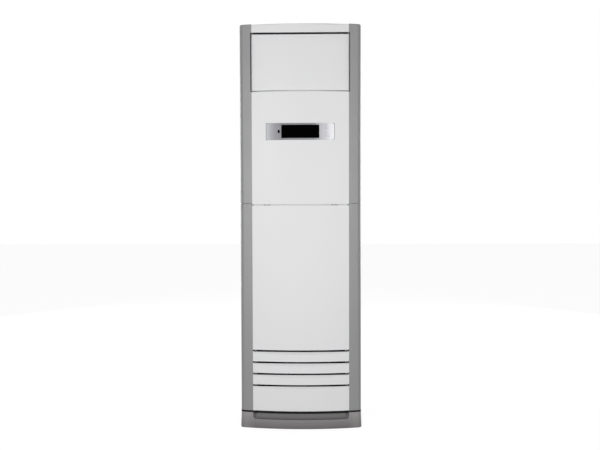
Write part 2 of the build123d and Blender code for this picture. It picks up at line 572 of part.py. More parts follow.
def make_door_drive():
    """Rack on the back of the door, pinion with its shaft, and the geared motor."""
    pitch = pi * MODULE
    rack_back = bow_y(DOOR_R - DOOR_T, RACK_X1)
    pitch_y = rack_back + 4.0 + 1.25 * MODULE
    root_y, tip_y = pitch_y - 1.25 * MODULE, pitch_y + 0.8 * MODULE
    low, high = PINION_Z - 14.0, PINION_Z + DOOR_TRAVEL + 9.0
    slope = tan(radians(20))
    w_root = pitch / 4 + (pitch_y - root_y) * slope - BACKLASH
    w_tip = pitch / 4 - (tip_y - pitch_y) * slope - BACKLASH
    points = [(root_y, low)]
    first = -int((PINION_Z - low) / pitch)
    last = int((high - PINION_Z) / pitch)
    for k in range(first, last + 1):
        z = PINION_Z + (k + 0.5) * pitch
        if z + w_root > high or z - w_root < low:
            continue
        points += [(root_y, z - w_root), (tip_y, z - w_tip), (tip_y, z + w_tip), (root_y, z + w_root)]
    points += [(root_y, high), (rack_back - 0.6, high), (rack_back - 0.6, low)]
    rack = side_prism(points, RACK_X0, RACK_X1)
    rack -= bowed(-DOOR_X, DOOR_X, DOOR_RECESS - 8, DOOR_RECESS + DOOR_T, DOOR_Z0 - 60, DOOR_Z1)
    keep("door_rack", rack)
    centre_y = pitch_y + PINION_R + 0.2
    outline = involute_gear(PINION_TEETH, MODULE, BACKLASH)
    face = make_face(Polyline([(0, centre_y - p, PINION_Z + q) for p, q in outline], close=True))
    pinion = Pos(RACK_X0 - 0.5, 0, 0) * extrude(face, RACK_X1 - RACK_X0 + 1, dir=(1, 0, 0))
    shaft_r = 2.5
    pinion += rod("x", shaft_r, (RACK_X0 - 24, centre_y, PINION_Z), 26)
    keep("door_pinion", pinion)
    ear_x = RACK_X0 - 4.0
    motor = rod("x", 15.0, (ear_x - 28, centre_y, PINION_Z), 28)
    motor -= rod("x", shaft_r + RUN, (ear_x - 22, centre_y, PINION_Z), 40)
    keep("door_motor", motor)
    return centre_y, ear_x, shaft_r


def make_outlet():
    """Outlet frame, horizontal blades, upright vanes, their links and motors."""
    centre_y, ear_x, shaft_r = make_door_drive()
    z_low, z_high = COLLAR_Z0 - COLLAR_WALL, COLLAR_Z1 + COLLAR_WALL
    x_out = COLLAR_X + COLLAR_WALL
    frame = block(-FRAME_X, FRAME_X, FLANK_Y, FLANK_Y + FRAME_T, DOOR_Z0, COVER_Z0 - 3)
    frame += block(-x_out, x_out, FLANK_Y, COLLAR_Y1, z_low, z_high)
    frame -= block(-COLLAR_X, COLLAR_X, FLANK_Y - 1, COLLAR_Y1 + 1, COLLAR_Z0, COLLAR_Z1)
    ear = block(ear_x, ear_x + 1.5, FLANK_Y, centre_y + 12, PINION_Z - 15.5, z_low)
    ear -= rod("x", shaft_r + 0.6, (ear_x - 1, centre_y, PINION_Z), 4)
    frame += ear

    pitch = (COLLAR_Z1 - COLLAR_Z0) / BLADES
    heights = [COLLAR_Z0 + pitch * (i + 0.5) for i in range(BLADES)]
    end_x = COLLAR_X - 14.0
    pin = 2.5
    link_pin = 1.8
    link_x0, link_x1 = end_x + 2.0, end_x + 6.0
    for i, z in enumerate(heights):
        half = BLADE_CHORD / 2
        nose = [(-half, 0), (-half * 0.4, 1.6), (half * 0.4, 1.4), (half, 0.3), (half, -0.3),
                (half * 0.4, -1.4), (-half * 0.4, -1.6)]
        blade = side_prism([(BLADE_Y + y, z + dz) for y, dz in nose], -COLLAR_X + 3, end_x)
        blade += rod("x", 3.4, (-COLLAR_X + 2, BLADE_Y, z), end_x + COLLAR_X - 2)
        lead = i == 1
        reach = x_out + (6 if lead else 0)
        blade += rod("x", pin, (end_x - 1, BLADE_Y, z), reach - end_x + 1)
        blade += rod("x", pin, (-x_out, BLADE_Y, z), 6)
        blade += rod("x", 3.0, (end_x - 6, BLADE_Y + CRANK, z), 6.8)
        blade += rod("x", link_pin, (end_x - 4, BLADE_Y + CRANK, z), 4 + link_x1 - end_x + 1)
        frame -= rod("x", pin + RUN, (-x_out - 1, BLADE_Y, z), 2 * x_out + 2)
        keep(f"louvre_blade_{i + 1}", blade)
    y0, y1 = BLADE_Y + CRANK - 4, BLADE_Y + CRANK + 4
    link = block(link_x0, link_x1, y0, y1, heights[0] - 6, heights[-1] + 6)
    for z in heights:
        link -= rod("x", link_pin + RUN, (link_x0 - 1, BLADE_Y + CRANK, z), 8)
    keep("louvre_link", link)
    lead_z = heights[1]
    motor = rod("x", 12.5, (x_out, BLADE_Y, lead_z), 18)
    motor += block(x_out, x_out + 2, BLADE_Y - 5, BLADE_Y + 5, lead_z - 19, lead_z + 19)
    motor -= rod("x", pin + RUN, (x_out - 1, BLADE_Y, lead_z), 9)
    keep("louvre_motor", motor)

    bottom = COLLAR_Z0 + 11
    top = COLLAR_Z1 - 3
    vpin, lpin = 2.0, 1.6
    places = [VANE_PITCH * (i - (VANES - 1) / 2) for i in range(VANES)]
    bar_z0, bar_z1 = COLLAR_Z0 + 4, COLLAR_Z0 + 8
    for i, x in enumerate(places):
        half = VANE_CHORD / 2
        vane = block(x - 0.9, x + 0.9, VANE_Y - half, VANE_Y + half, bottom, top)
        vane += rod("z", 2.8, (x, VANE_Y, bottom), top + 1 - bottom)
        lead = i == 2
        vane += rod("z", vpin, (x, VANE_Y, z_low), z_high + (6 if lead else 0) - z_low)
        vane += rod("z", lpin, (x, VANE_Y + CRANK, bar_z0 - 1), 12)
        frame -= rod("z", vpin + RUN, (x, VANE_Y, z_low - 1), 5)
        frame -= rod("z", vpin + RUN, (x, VANE_Y, COLLAR_Z1 - 1), 6)
        keep(f"vane_{i + 1}", vane)
    bar = block(places[0] - 6, places[-1] + 6, VANE_Y + CRANK - 4, VANE_Y + CRANK + 4, bar_z0, bar_z1)
    for x in places:
        bar -= rod("z", lpin + RUN, (x, VANE_Y + CRANK, bar_z0 - 1), 8)
    keep("vane_link", bar)
    x = places[2]
    motor = rod("z", 12.5, (x, VANE_Y, z_high), 18)
    motor += block(x - 19, x + 19, VANE_Y - 5, VANE_Y + 5, z_high, z_high + 2)
    motor -= rod("z", vpin + RUN, (x, VANE_Y, z_high - 1), 9)
    keep("vane_motor", motor)
    keep("outlet_frame", frame)


# ---- fan -----------------------------------------------------------------------------------
CUTOFF = 115.0                 # degrees from +x, seen from the front
VOLUTE_R0, VOLUTE_R1 = FAN_R + 13.0, SHEET_IN - 22.8
VOLUTE_WALL = 1.5
VOLUTE_ARCS = 6
BLADE_IN_R = FAN_R - 28.0      # inner radius of the fan's blades
INLET_R = BLADE_IN_R - 7.0
BELL_R = 15.0
FAN_MOTOR_R = 58.0


def volute(inset):
    """Closed outline of the scroll: a spiral of arcs from the cutoff, then the upright throat."""
    sweep_angle = radians(CUTOFF + 180.0)
    growth = (VOLUTE_R1 - VOLUTE_R0) / sweep_angle
    points = []
    for k in range(2 * VOLUTE_ARCS + 1):
        a = radians(CUTOFF) - sweep_angle * k / (2 * VOLUTE_ARCS)
        r = VOLUTE_R0 + growth * (radians(CUTOFF) - a) - inset
        points.append((r * cos(a), FAN_Z + r * sin(a)))
    start, end = points[0], points[-1]
    top_l, top_r = (end[0], DECK_Z), (start[0] - inset, DECK_Z)
    tongue = (start[0] - inset, start[1] + 6)
    edges = [ThreePointArc(*[(x, 0, z) for x, z in points[2 * k:2 * k + 3]]) for k in range(VOLUTE_ARCS)]
    corners = [end, top_l, top_r, tongue, start]
    edges += [Line((a[0], 0, a[1]), (b[0], 0, b[1])) for a, b in zip(corners, corners[1:])]
    return make_face(edges)


def make_fan():
    """Forward curved radial impeller on its shaft, in a scroll that blows upwards."""
    outer = extrude(volute(0), SCROLL_Y1 + 2 - SCROLL_Y0, dir=(0, 1, 0))
    inner = extrude(volute(VOLUTE_WALL), SCROLL_Y1 - SCROLL_Y0, dir=(0, 1, 0))
    housing = Pos(0, SCROLL_Y0, 0) * (outer - inner)
    housing -= rod("y", 30, (0, SCROLL_Y1 - 1, FAN_Z), 5)
    keep("scroll_housing", housing)

    plate = Pos(0, SCROLL_Y0 - 2, 0) * extrude(volute(0), 2, dir=(0, 1, 0))
    plate -= rod("y", INLET_R + BELL_R, (0, SCROLL_Y0 - 3, FAN_Z), 4)
    y_out, y_in = SCROLL_Y0 - 2, SCROLL_Y0 - 2 + BELL_R
    q = cos(radians(45))
    bell = make_face([
        ThreePointArc((INLET_R + BELL_R, y_out, 0), (INLET_R + BELL_R * (1 - q), y_out + BELL_R * (1 - q), 0),
                      (INLET_R, y_in, 0)),
        Line((INLET_R, y_in, 0), (INLET_R + 2, y_in, 0)),
        ThreePointArc((INLET_R + 2, y_in, 0),
                      (INLET_R + BELL_R - (BELL_R - 2) * q, y_in - (BELL_R - 2) * q, 0),
                      (INLET_R + BELL_R, y_out + 2, 0)),
        Line((INLET_R + BELL_R, y_out + 2, 0), (INLET_R + BELL_R, y_out, 0))])
    bell = Pos(0, 0, FAN_Z) * revolve(bell, Axis.Y, 360)
    keep("scroll_front_plate", plate + bell)

    r_in = BLADE_IN_R
    wheel = rod("y", FAN_R, (0, FAN_Y1 - 2, 0), 2)
    wheel += rod("y", 22, (0, FAN_Y1 - 32, 0), 31)
    wheel += rod("y", FAN_R, (0, FAN_Y0, 0), 3) - rod("y", FAN_R - 5, (0, FAN_Y0 - 1, 0), 6)
    chord = FAN_R - 1.5 - r_in
    blade = make_face([
        ThreePointArc((r_in, 0, 0), (r_in + chord * 0.5, 0, -5.0), (FAN_R - 1.5, 0, 2.0)),
        Line((FAN_R - 1.5, 0, 2.0), (FAN_R - 1.5, 0, 3.6)),
        ThreePointArc((FAN_R - 1.5, 0, 3.6), (r_in + chord * 0.5, 0, -3.4), (r_in, 0, 1.6)),
        Line((r_in, 0, 1.6), (r_in, 0, 0))])
    blade = Pos(0, FAN_Y0 + 1, 0) * extrude(blade, FAN_Y1 - FAN_Y0 - 2, dir=(0, 1, 0))
    wheel += [Rot(0, 360 * k / FAN_BLADES, 0) * blade for k in range(FAN_BLADES)]
    wheel -= rod("y", SHAFT_R, (0, 0, 0), 200)
    keep("fan_impeller", Pos(0, 0, FAN_Z) * wheel)

    shaft_y0, body_y0, body_y1 = FAN_Y1 - 40, SCROLL_Y1 + 2, REAR_IN - 7.8
    keep("fan_shaft", rod("y", SHAFT_R, (0, shaft_y0, FAN_Z), body_y1 - 10 - shaft_y0))
    motor = rod("y", FAN_MOTOR_R, (0, body_y0 + 4, FAN_Z), body_y1 - body_y0 - 4)
    motor += rod("y", 20, (0, SCROLL_Y1 - 6, FAN_Z), 14)
    for turn in range(4):
        lug = block(-9, 9, body_y0, body_y0 + 5, FAN_Z + FAN_MOTOR_R - 8, FAN_Z + FAN_MOTOR_R + 20)
        lug -= rod("y", 2.6, (0, body_y0 - 1, FAN_Z + FAN_MOTOR_R + 12), 8)
        motor += Pos(0, 0, FAN_Z) * Rot(0, 45 + 90 * turn, 0) * Pos(0, 0, -FAN_Z) * lug
    motor -= rod("y", SHAFT_R + RUN, (0, SCROLL_Y1 - 8, FAN_Z), body_y1 - 8 - SCROLL_Y1 + 8)
    keep("fan_motor", motor)


def make_partition():
    """One folded sheet: deck over the scroll, upright wall, and shelf under the drain pan."""
    x = SHEET_IN - 0.2
    shelf_x = SHEET_IN - LIP - 0.6
    sheet = block(-x, x, WALL_Y, REAR_IN - SHEET - 0.2, DECK_Z, DECK_Z + SHEET)
    sheet += block(-x, x, WALL_Y, WALL_Y + SHEET, DECK_Z, SHELF_Z)
    sheet += block(-x, x, PILLAR_Y1 + 2, WALL_Y + SHEET, SHELF_Z - SHEET, SHELF_Z)
    sheet += block(-shelf_x, shelf_x, PAN_Y0 - 2, WALL_Y + SHEET, SHELF_Z - SHEET, SHELF_Z)
    throat_x1 = VOLUTE_R0 * cos(radians(CUTOFF)) - VOLUTE_WALL
    sheet -= block(-VOLUTE_R1 + VOLUTE_WALL + 1, throat_x1 - 1, SCROLL_Y0 + 1, SCROLL_Y1 - 1,
                   DECK_Z - 5, DECK_Z + 5)
    sheet -= block(GAS_X - 14, x + 1, PAN_Y0 - 5, COIL_PORT_GAS[0] + 14, SHELF_Z - 9, SHELF_Z + 9)
    keep("fan_partition", sheet)


# ---- evaporator, pan, pipes -------------------------------------------------------------------
def along_coil(s, across=0.0):
    """(y, z) of a point s up the slab's middle line and across it towards the front."""
    length = hypot(COIL_TOP[0] - COIL_LOW[0], COIL_TOP[1] - COIL_LOW[1])
    uy, uz = (COIL_TOP[0] - COIL_LOW[0]) / length, (COIL_TOP[1] - COIL_LOW[1]) / length
    return (COIL_LOW[0] + s * uy - across * uz, COIL_LOW[1] + s * uz + across * uy)


COIL_LEN = hypot(COIL_TOP[0] - COIL_LOW[0], COIL_TOP[1] - COIL_LOW[1])
TUBES = 7
BEND_SIDES = 8                 # flats round the tube of a return bend
ROW = 12.5                     # tube rows on both sides of the slab's middle
FIN_GROOVES = 44
FIN_SHARE = 0.25               # part of the pitch that stays as a fin
FIN_WEB = 7.0                  # plain plate left in the slab's middle
PAN_X = COIL_X + 4.0
GAS_X, LIQUID_X = COIL_X + 16.0, COIL_X + 34.0
GAS_Z, LIQUID_Z = PIPE_Z1 - 34.0, PIPE_Z0 + 22.0
PIPE_END_Y = REAR_IN - 39.8
UNION_WALL, UNION_NOSE = 1.5, 18.0
PIPE_WALL = 1.2
COIL_PORT_GAS = along_coil(110.0)
COIL_PORT_LIQUID = along_coil(48.0)


def return_bend(radius):
    """Half ring of flat sided tube in the XY plane, open towards +X."""
    section = Plane.XZ * Pos(radius, 0) * RegularPolygon(TUBE_R, BEND_SIDES)
    return Rot(0, 0, 90) * revolve(section, Axis.Z, 180)


def make_coil():
    """Leaning fin block with end plates, and copper return bends at both ends."""
    h = COIL_T / 2
    corners = [along_coil(0, h), along_coil(0, -h), along_coil(COIL_LEN, -h), along_coil(COIL_LEN, h)]
    core = side_prism(corners, -COIL_X, COIL_X)
    pitch = 2 * COIL_X / FIN_GROOVES
    web = FIN_WEB / 2
    for face in (1, -1):
        groove = [along_coil(6, face * (h + 1)), along_coil(6, face * web),
                  along_coil(COIL_LEN - 6, face * web), along_coil(COIL_LEN - 6, face * (h + 1))]
        starts = [-COIL_X + pitch * (k + FIN_SHARE / 2) for k in range(FIN_GROOVES)]
        core -= [side_prism(groove, x, x + pitch * (1 - FIN_SHARE)) for x in starts]
    keep("evaporator_core", core)
    lean = degrees(atan2(COIL_TOP[0] - COIL_LOW[0], COIL_TOP[1] - COIL_LOW[1]))
    step = (COIL_LEN - 170) / (TUBES - 1)
    stations = [140 + step * k for k in range(TUBES)]
    bends = []
    for s in stations:
        y, z = along_coil(s)
        bends.append(Pos(-COIL_X, y, z) * Rot(-lean, 0, 0) * return_bend(ROW))
    for s in [(a + b) / 2 for a, b in zip(stations, stations[1:])]:
        y, z = along_coil(s, ROW if len(bends) % 2 else -ROW)
        upright = Rot(0, 0, 180) * Rot(90, 0, 0) * return_bend(step / 2)
        bends.append(Pos(COIL_X, y, z) * Rot(-lean, 0, 0) * upright)
    keep("evaporator_bends", Compound(children=bends))


def pipe(points, r, bore, bend):
    """Round pipe with its bore along straight runs with bends."""
    path = FilletPolyline(*points, radius=bend)
    start = Plane(origin=path @ 0, z_dir=path % 0)
    return sweep(start * Circle(r), path=path) - sweep(start * Circle(bore), path=path)


def make_pipes():
    """Liquid and gas pipes from the coil down to the rear entry, each ending in a union."""
    unions = []
    for name, x, port, z, r in (("liquid_pipe", LIQUID_X, COIL_PORT_LIQUID, LIQUID_Z, TUBE_R),
                                ("gas_pipe", GAS_X, COIL_PORT_GAS, GAS_Z, GAS_R)):
        y, top = port
        run = pipe([(COIL_X, y, top), (x, y, top), (x, y, z), (x, PIPE_END_Y, z)], r, r - PIPE_WALL,
                   15.0 if r > 5 else 20.0)
        keep(name, run)
        hexagon = Plane.XZ * Pos(x, z) * RegularPolygon(r + 4.5, 6)
        union = Pos(0, PIPE_END_Y - 14, 0) * extrude(hexagon, 20, dir=(0, 1, 0))
        union += rod("y", r + UNION_WALL, (x, PIPE_END_Y + 6, z), UNION_NOSE)
        unions.append(union - rod("y", r, (x, PIPE_END_Y - 15, z), 15)
                      - rod("y", r - PIPE_WALL, (x, PIPE_END_Y - 1, z), 50))
    keep("pipe_unions", Compound(children=unions))


def make_drain():
    """Drain pan under the slab's lower edge and the hose that leads to the rear."""
    wall = 4.0
    pan = block(-PAN_X, PAN_X, PAN_Y0, WALL_Y, SHELF_Z, PAN_Z1)
    pan -= block(-PAN_X + wall, PAN_X - wall, PAN_Y0 + wall, WALL_Y - wall, SHELF_Z + wall, PAN_Z1 + 1)
    spout_z = SHELF_Z - 22
    pan += rod("z", DRAIN_R - 2, (DRAIN_X, DRAIN_Y, spout_z), SHELF_Z + 1 - spout_z)
    pan -= rod("z", DRAIN_R - 4, (DRAIN_X, DRAIN_Y, spout_z - 1), SHELF_Z + wall + 3 - spout_z)
    keep("drain_pan", pan)
    parts["fan_partition"] -= rod("z", DRAIN_R + 1.5, (DRAIN_X, DRAIN_Y, SHELF_Z - 5), 10)
    parts["fan_partition"].label = "fan_partition"
    y_end = REAR_IN - 8
    hose = pipe([(DRAIN_X, DRAIN_Y, SHELF_Z - SHEET - 0.4), (DRAIN_X, DRAIN_Y, DRAIN_Z),
                 (DRAIN_X, y_end, DRAIN_Z)], DRAIN_R, DRAIN_R - 3, 30)
    hose -= rod("z", DRAIN_R - 2, (DRAIN_X, DRAIN_Y, spout_z - 1), 60)
    hose -= rod("y", DRAIN_R - 2, (DRAIN_X, y_end - DRAIN_BORE_L, DRAIN_Z), DRAIN_BORE_L + 10)
    keep("drain_hose", hose)


def make_duct():
    """Foam duct from the slab's front face up and forward to the outlet collar."""
    wall = 12.0
    x = COIL_X + 1
    bend = 80.0
    y0, y1 = PAN_Y0 + 2.0, REAR_IN - 39.8
    top = COLLAR_Z1 + wall
    foot = along_coil(0, COIL_T / 2 + 0.2)
    slope = (COIL_TOP[0] - COIL_LOW[0]) / (COIL_TOP[1] - COIL_LOW[1])

    def face_y(z):
        return foot[0] + (z - foot[1]) * slope

    def duct_prism(points, arc_from, arc_mid, arc_to, half):
        edges = [Line((0, *a), (0, *b)) for a, b in zip(points, points[1:] + points[:1])
                 if not (a == arc_from and b == arc_to)]
        edges.append(ThreePointArc((0, *arc_from), (0, *arc_mid), (0, *arc_to)))
        return extrude(make_face(edges), half, dir=(1, 0, 0), both=True)

    q = sin(radians(45))
    rear_z = COIL_TOP[1] + 18
    a, b = (y1 - bend, top), (y1, top - bend)
    knee_z = DOOR_Z0 - 38.0    # the front wall turns forward below the door motor
    outer = duct_prism([(y0, PAN_Z1), (y0, knee_z), (COLLAR_Y1, knee_z + 28), (COLLAR_Y1, top), a, b,
                        (y1, rear_z), (face_y(rear_z), rear_z), (face_y(PAN_Z1), PAN_Z1)],
                       a, (y1 - bend + bend * q, top - bend + bend * q), b, x + wall - 2)
    r = bend - wall
    c, d = (y1 - bend, COLLAR_Z1), (y1 - wall, top - bend)
    inner_rear_z = rear_z + wall
    cavity = duct_prism([(y0 + wall, PAN_Z1 - 20), (y0 + wall, knee_z + 10), (COLLAR_Y1 - 12, COLLAR_Z0),
                         (COLLAR_Y1 - 13, COLLAR_Z0), (COLLAR_Y1 - 13, COLLAR_Z1), c, d,
                         (y1 - wall, inner_rear_z), (face_y(inner_rear_z) + 4, inner_rear_z),
                         (face_y(PAN_Z1 - 20) + 4, PAN_Z1 - 20)],
                        c, (y1 - bend + r * q, top - bend + r * q), d, x)
    keep("outlet_duct", outer - cavity)


# ---- electric box ----------------------------------------------------------------------------
EBOX_X = 150.0
EBOX_Z0 = DECK_Z + 62.0
EBOX_Z1 = EBOX_Z0 + EBOX_H
EBOX_Y0 = FRONT_Y + 70.0
GLAND_X = EBOX_X - 30.0


def make_electrics():
    """Box on the partition with cover, control board, terminal block and cable gland."""
    t = 1.5
    box = block(-EBOX_X, EBOX_X, EBOX_Y0, WALL_Y, EBOX_Z0, EBOX_Z1)
    box -= block(-EBOX_X + t, EBOX_X - t, EBOX_Y0 - 1, WALL_Y - t, EBOX_Z0 + t, EBOX_Z1 - t)
    mid_y = (EBOX_Y0 + WALL_Y) / 2
    box -= rod("z", 9.2, (GLAND_X, mid_y, EBOX_Z0 - 1), 4)
    cover = block(-EBOX_X - 0.2, EBOX_X + 0.2, EBOX_Y0 - t, EBOX_Y0, EBOX_Z0 - 0.2, EBOX_Z1 + 0.2)
    cover += block(-EBOX_X + t + 0.2, EBOX_X - t - 0.2, EBOX_Y0, EBOX_Y0 + 8, EBOX_Z1 - 2 * t - 0.2,
                   EBOX_Z1 - t - 0.2)
    cover += block(-EBOX_X + t + 0.2, EBOX_X - t - 0.2, EBOX_Y0, EBOX_Y0 + 8, EBOX_Z0 + t + 0.2,
                   EBOX_Z0 + 2 * t + 0.2)
    keep("electric_box_cover", cover)
    back = WALL_Y - t
    board_y = back - 10
    bx0, bx1, bz0, bz1 = 15.0 - EBOX_X, EBOX_X - 90.0, EBOX_Z0 + 25, EBOX_Z1 - 20
    board = block(bx0, bx1, board_y - BOARD_T, board_y, bz0, bz1)
    board += block(bx0 + 15, bx0 + 60, board_y - 40, board_y - BOARD_T, bz0 + 20, bz0 + 75)
    for x in (bx1 - 100, bx1 - 62):
        board += block(x, x + 28, board_y - 20, board_y - BOARD_T, bz0 + 12, bz0 + 34)
    board += block(bx1 - 90, bx1 - 20, board_y - 8, board_y - BOARD_T, bz1 - 26, bz1 - 14)
    for x in (bx0 + 82, bx0 + 108):
        board += rod("y", 10, (x, board_y - 34, bz0 + 70), 33)
    for x in (bx0 + 6, bx1 - 6):
        for z in (bz0 + 6, bz1 - 6):
            box += rod("y", 3, (x, board_y, z), back - board_y + 0.1)
    keep("control_board", board)
    keep("electric_box", box)
    block_x0, block_x1, block_z = EBOX_X - 72, EBOX_X - 12, EBOX_Z0 + 80
    term = block(block_x0, block_x1, back - 20, back, block_z, block_z + 26)
    for k in range(5):
        x = block_x0 + 6 + 12 * k
        term -= block(x - 4.5, x + 4.5, back - 21, back - 13, block_z + 5, block_z + 21)
        term += rod("y", 3.2, (x, back - 17, block_z + 13), 6)
    keep("terminal_block", term)
    gland = rod("z", 9, (GLAND_X, mid_y, EBOX_Z0 - 6), 16)
    hexagon = Pos(GLAND_X, mid_y, EBOX_Z0 - 8) * RegularPolygon(14, 6)
    gland += extrude(hexagon, 8)
    gland += rod("z", 11, (GLAND_X, mid_y, EBOX_Z0 - 18), 10)
    gland += extrude(Pos(GLAND_X, mid_y, EBOX_Z0 + t) * RegularPolygon(14, 6), 5)
    gland -= rod("z", 5.5, (GLAND_X, mid_y, EBOX_Z0 - 20), 40)
    keep("cable_gland", gland)


def make_filter():
    """Washable filter: frame with cross bars, thin net and a pull tab."""
    x, y0, y1 = FILTER_X + 10.4, FILTER_Y0, FILTER_Y1
    frame = block(-x, x, y0, y1, FILTER_Z0, FILTER_Z1)
    frame -= block(-x + 10, x - 10, y0 - 1, y1 + 1, FILTER_Z0 + 8, FILTER_Z1 - 8)
    mid_z = (FILTER_Z0 + FILTER_Z1) / 2
    frame += block(-x + 9, x - 9, y0, y1, mid_z - 2, mid_z + 2)
    for k in (-2, -1, 0, 1, 2):
        frame += block(70 * k - 2, 70 * k + 2, y0, y1, FILTER_Z0 + 7, FILTER_Z1 - 7)
    frame += block(-x + 9, x - 9, (y0 + y1) / 2 - 0.4, (y0 + y1) / 2 + 0.4, FILTER_Z0 + 7, FILTER_Z1 - 7)
    frame += block(-25, 25, y0, y1, FILTER_Z1 - 1, FILTER_Z1 + 14)
    keep("air_filter", frame)


def build():
    """Make every piece and write one STEP file for each."""
    make_plinth()
    make_base_pan()
    make_sheets()
    make_anti_tip_plate()
    make_top_cover()
    make_pillars()
    make_intake_panel()
    make_display_panel()
    make_display()
    make_door()
    make_outlet()
    make_fan()
    make_partition()
    make_coil()
    make_pipes()
    make_drain()
    make_duct()
    make_electrics()
    make_filter()
    os.makedirs("parts", exist_ok=True)
    for name, shape in parts.items():
        export_step(shape, f"parts/{name}.step")
        print(name, round(shape.volume / 1000, 1), "cm3")
    print(len(parts), "nodes")


build()
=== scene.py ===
import logging
import math
from dataclasses import dataclass, field
from enum import Enum

import bmesh
import bpy
import numpy as np
from mathutils import Matrix, Vector


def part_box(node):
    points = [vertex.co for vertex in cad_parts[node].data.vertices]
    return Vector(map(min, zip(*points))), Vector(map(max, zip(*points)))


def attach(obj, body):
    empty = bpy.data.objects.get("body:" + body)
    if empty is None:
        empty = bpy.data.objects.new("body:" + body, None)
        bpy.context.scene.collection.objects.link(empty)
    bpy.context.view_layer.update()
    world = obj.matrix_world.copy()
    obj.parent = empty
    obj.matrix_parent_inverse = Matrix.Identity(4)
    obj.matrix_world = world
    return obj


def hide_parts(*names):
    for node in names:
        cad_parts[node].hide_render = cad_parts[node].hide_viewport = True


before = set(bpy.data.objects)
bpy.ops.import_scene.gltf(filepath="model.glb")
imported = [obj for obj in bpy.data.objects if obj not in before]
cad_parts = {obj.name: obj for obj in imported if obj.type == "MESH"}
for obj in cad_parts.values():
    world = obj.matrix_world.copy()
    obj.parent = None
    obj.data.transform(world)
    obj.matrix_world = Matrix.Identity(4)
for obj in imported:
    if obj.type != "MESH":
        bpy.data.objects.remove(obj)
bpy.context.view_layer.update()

log = logging.getLogger("air_conditioner")

Pair = tuple[float, float]
Triple = tuple[float, float, float]
Colour = Triple
Stops = list[tuple[float, Colour]]
Socket = bpy.types.NodeSocket
Inputs = dict[str | int, Socket | float | Triple]
Line = tuple[np.ndarray, np.ndarray]

MM = 0.001
WHITE: Colour = (1.0, 1.0, 1.0)
EVEN: Triple = (1.0, 1.0, 1.0)
NOISE_SPAN: Pair = (0.3, 0.7)  # where nearly all values of a noise lie
WHOLE: Pair = (0.0, 1.0)
WAVE_RATE = 20.0  # radians per metre of a wave texture whose scale is 1
MERGE, SLIVER = 1e-7, 1e-8  # lengths in metres under which points and faces fall together


def tone(red: float, green: float | None = None, blue: float | None = None) -> Colour:
    """Linear colour of a display colour; the curve is the standard one of screens.

    Args:
        red: level from 0 to 255, of all three channels where the others are left out.
        green: level from 0 to 255.
        blue: level from 0 to 255.

    Returns:
        The three linear channels from 0 to 1.
    """
    levels = np.array([red, red if green is None else green, red if blue is None else blue]) / 255.0
    linear = np.where(levels <= 0.04045, levels / 12.92, ((levels + 0.055) / 1.055) ** 2.4)
    return tuple(float(v) for v in linear)


def scaled(colour: Colour, factor: float) -> Colour:
    """The colour with each channel times factor."""
    return tuple(min(1.0, c * factor) for c in colour)


def linked(name: str, data: bpy.types.ID) -> bpy.types.Object:
    """Put a new object in the scene, at the origin.

    Args:
        name: its name.
        data: its mesh, light or camera.

    Returns:
        The object.
    """
    made = bpy.data.objects.new(name, data)
    bpy.context.scene.collection.objects.link(made)
    return made


@dataclass(frozen=True)
class Arc:
    """Circle in plan, with its angles from the front: (centre + radius sin a, axis - radius cos a)."""

    radius: float
    axis_y: float
    centre_x: float = 0.0

    def inset(self, depth: float) -> "Arc":
        """The circle that lies depth inside this one."""
        return Arc(self.radius - depth, self.axis_y, self.centre_x)

    def angle(self, x: float) -> float:
        """The angle in radians at which the circle reaches x."""
        return math.asin((x - self.centre_x) / self.radius)

    def line(self, start: float, end: float, count: int = 61) -> Line:
        """Part of the circle.

        Args:
            start: first angle in radians.
            end: last angle.
            count: number of points.

        Returns:
            The (x, y) points and the unit vectors outwards.
        """
        angle = np.linspace(start, end, count)
        out = np.stack([np.sin(angle), -np.cos(angle)], axis=1)
        return out * self.radius + np.array([self.centre_x, self.axis_y]), out


BOW = Arc(1300.0 * MM, 1110.0 * MM)  # the bowed front of the cabinet


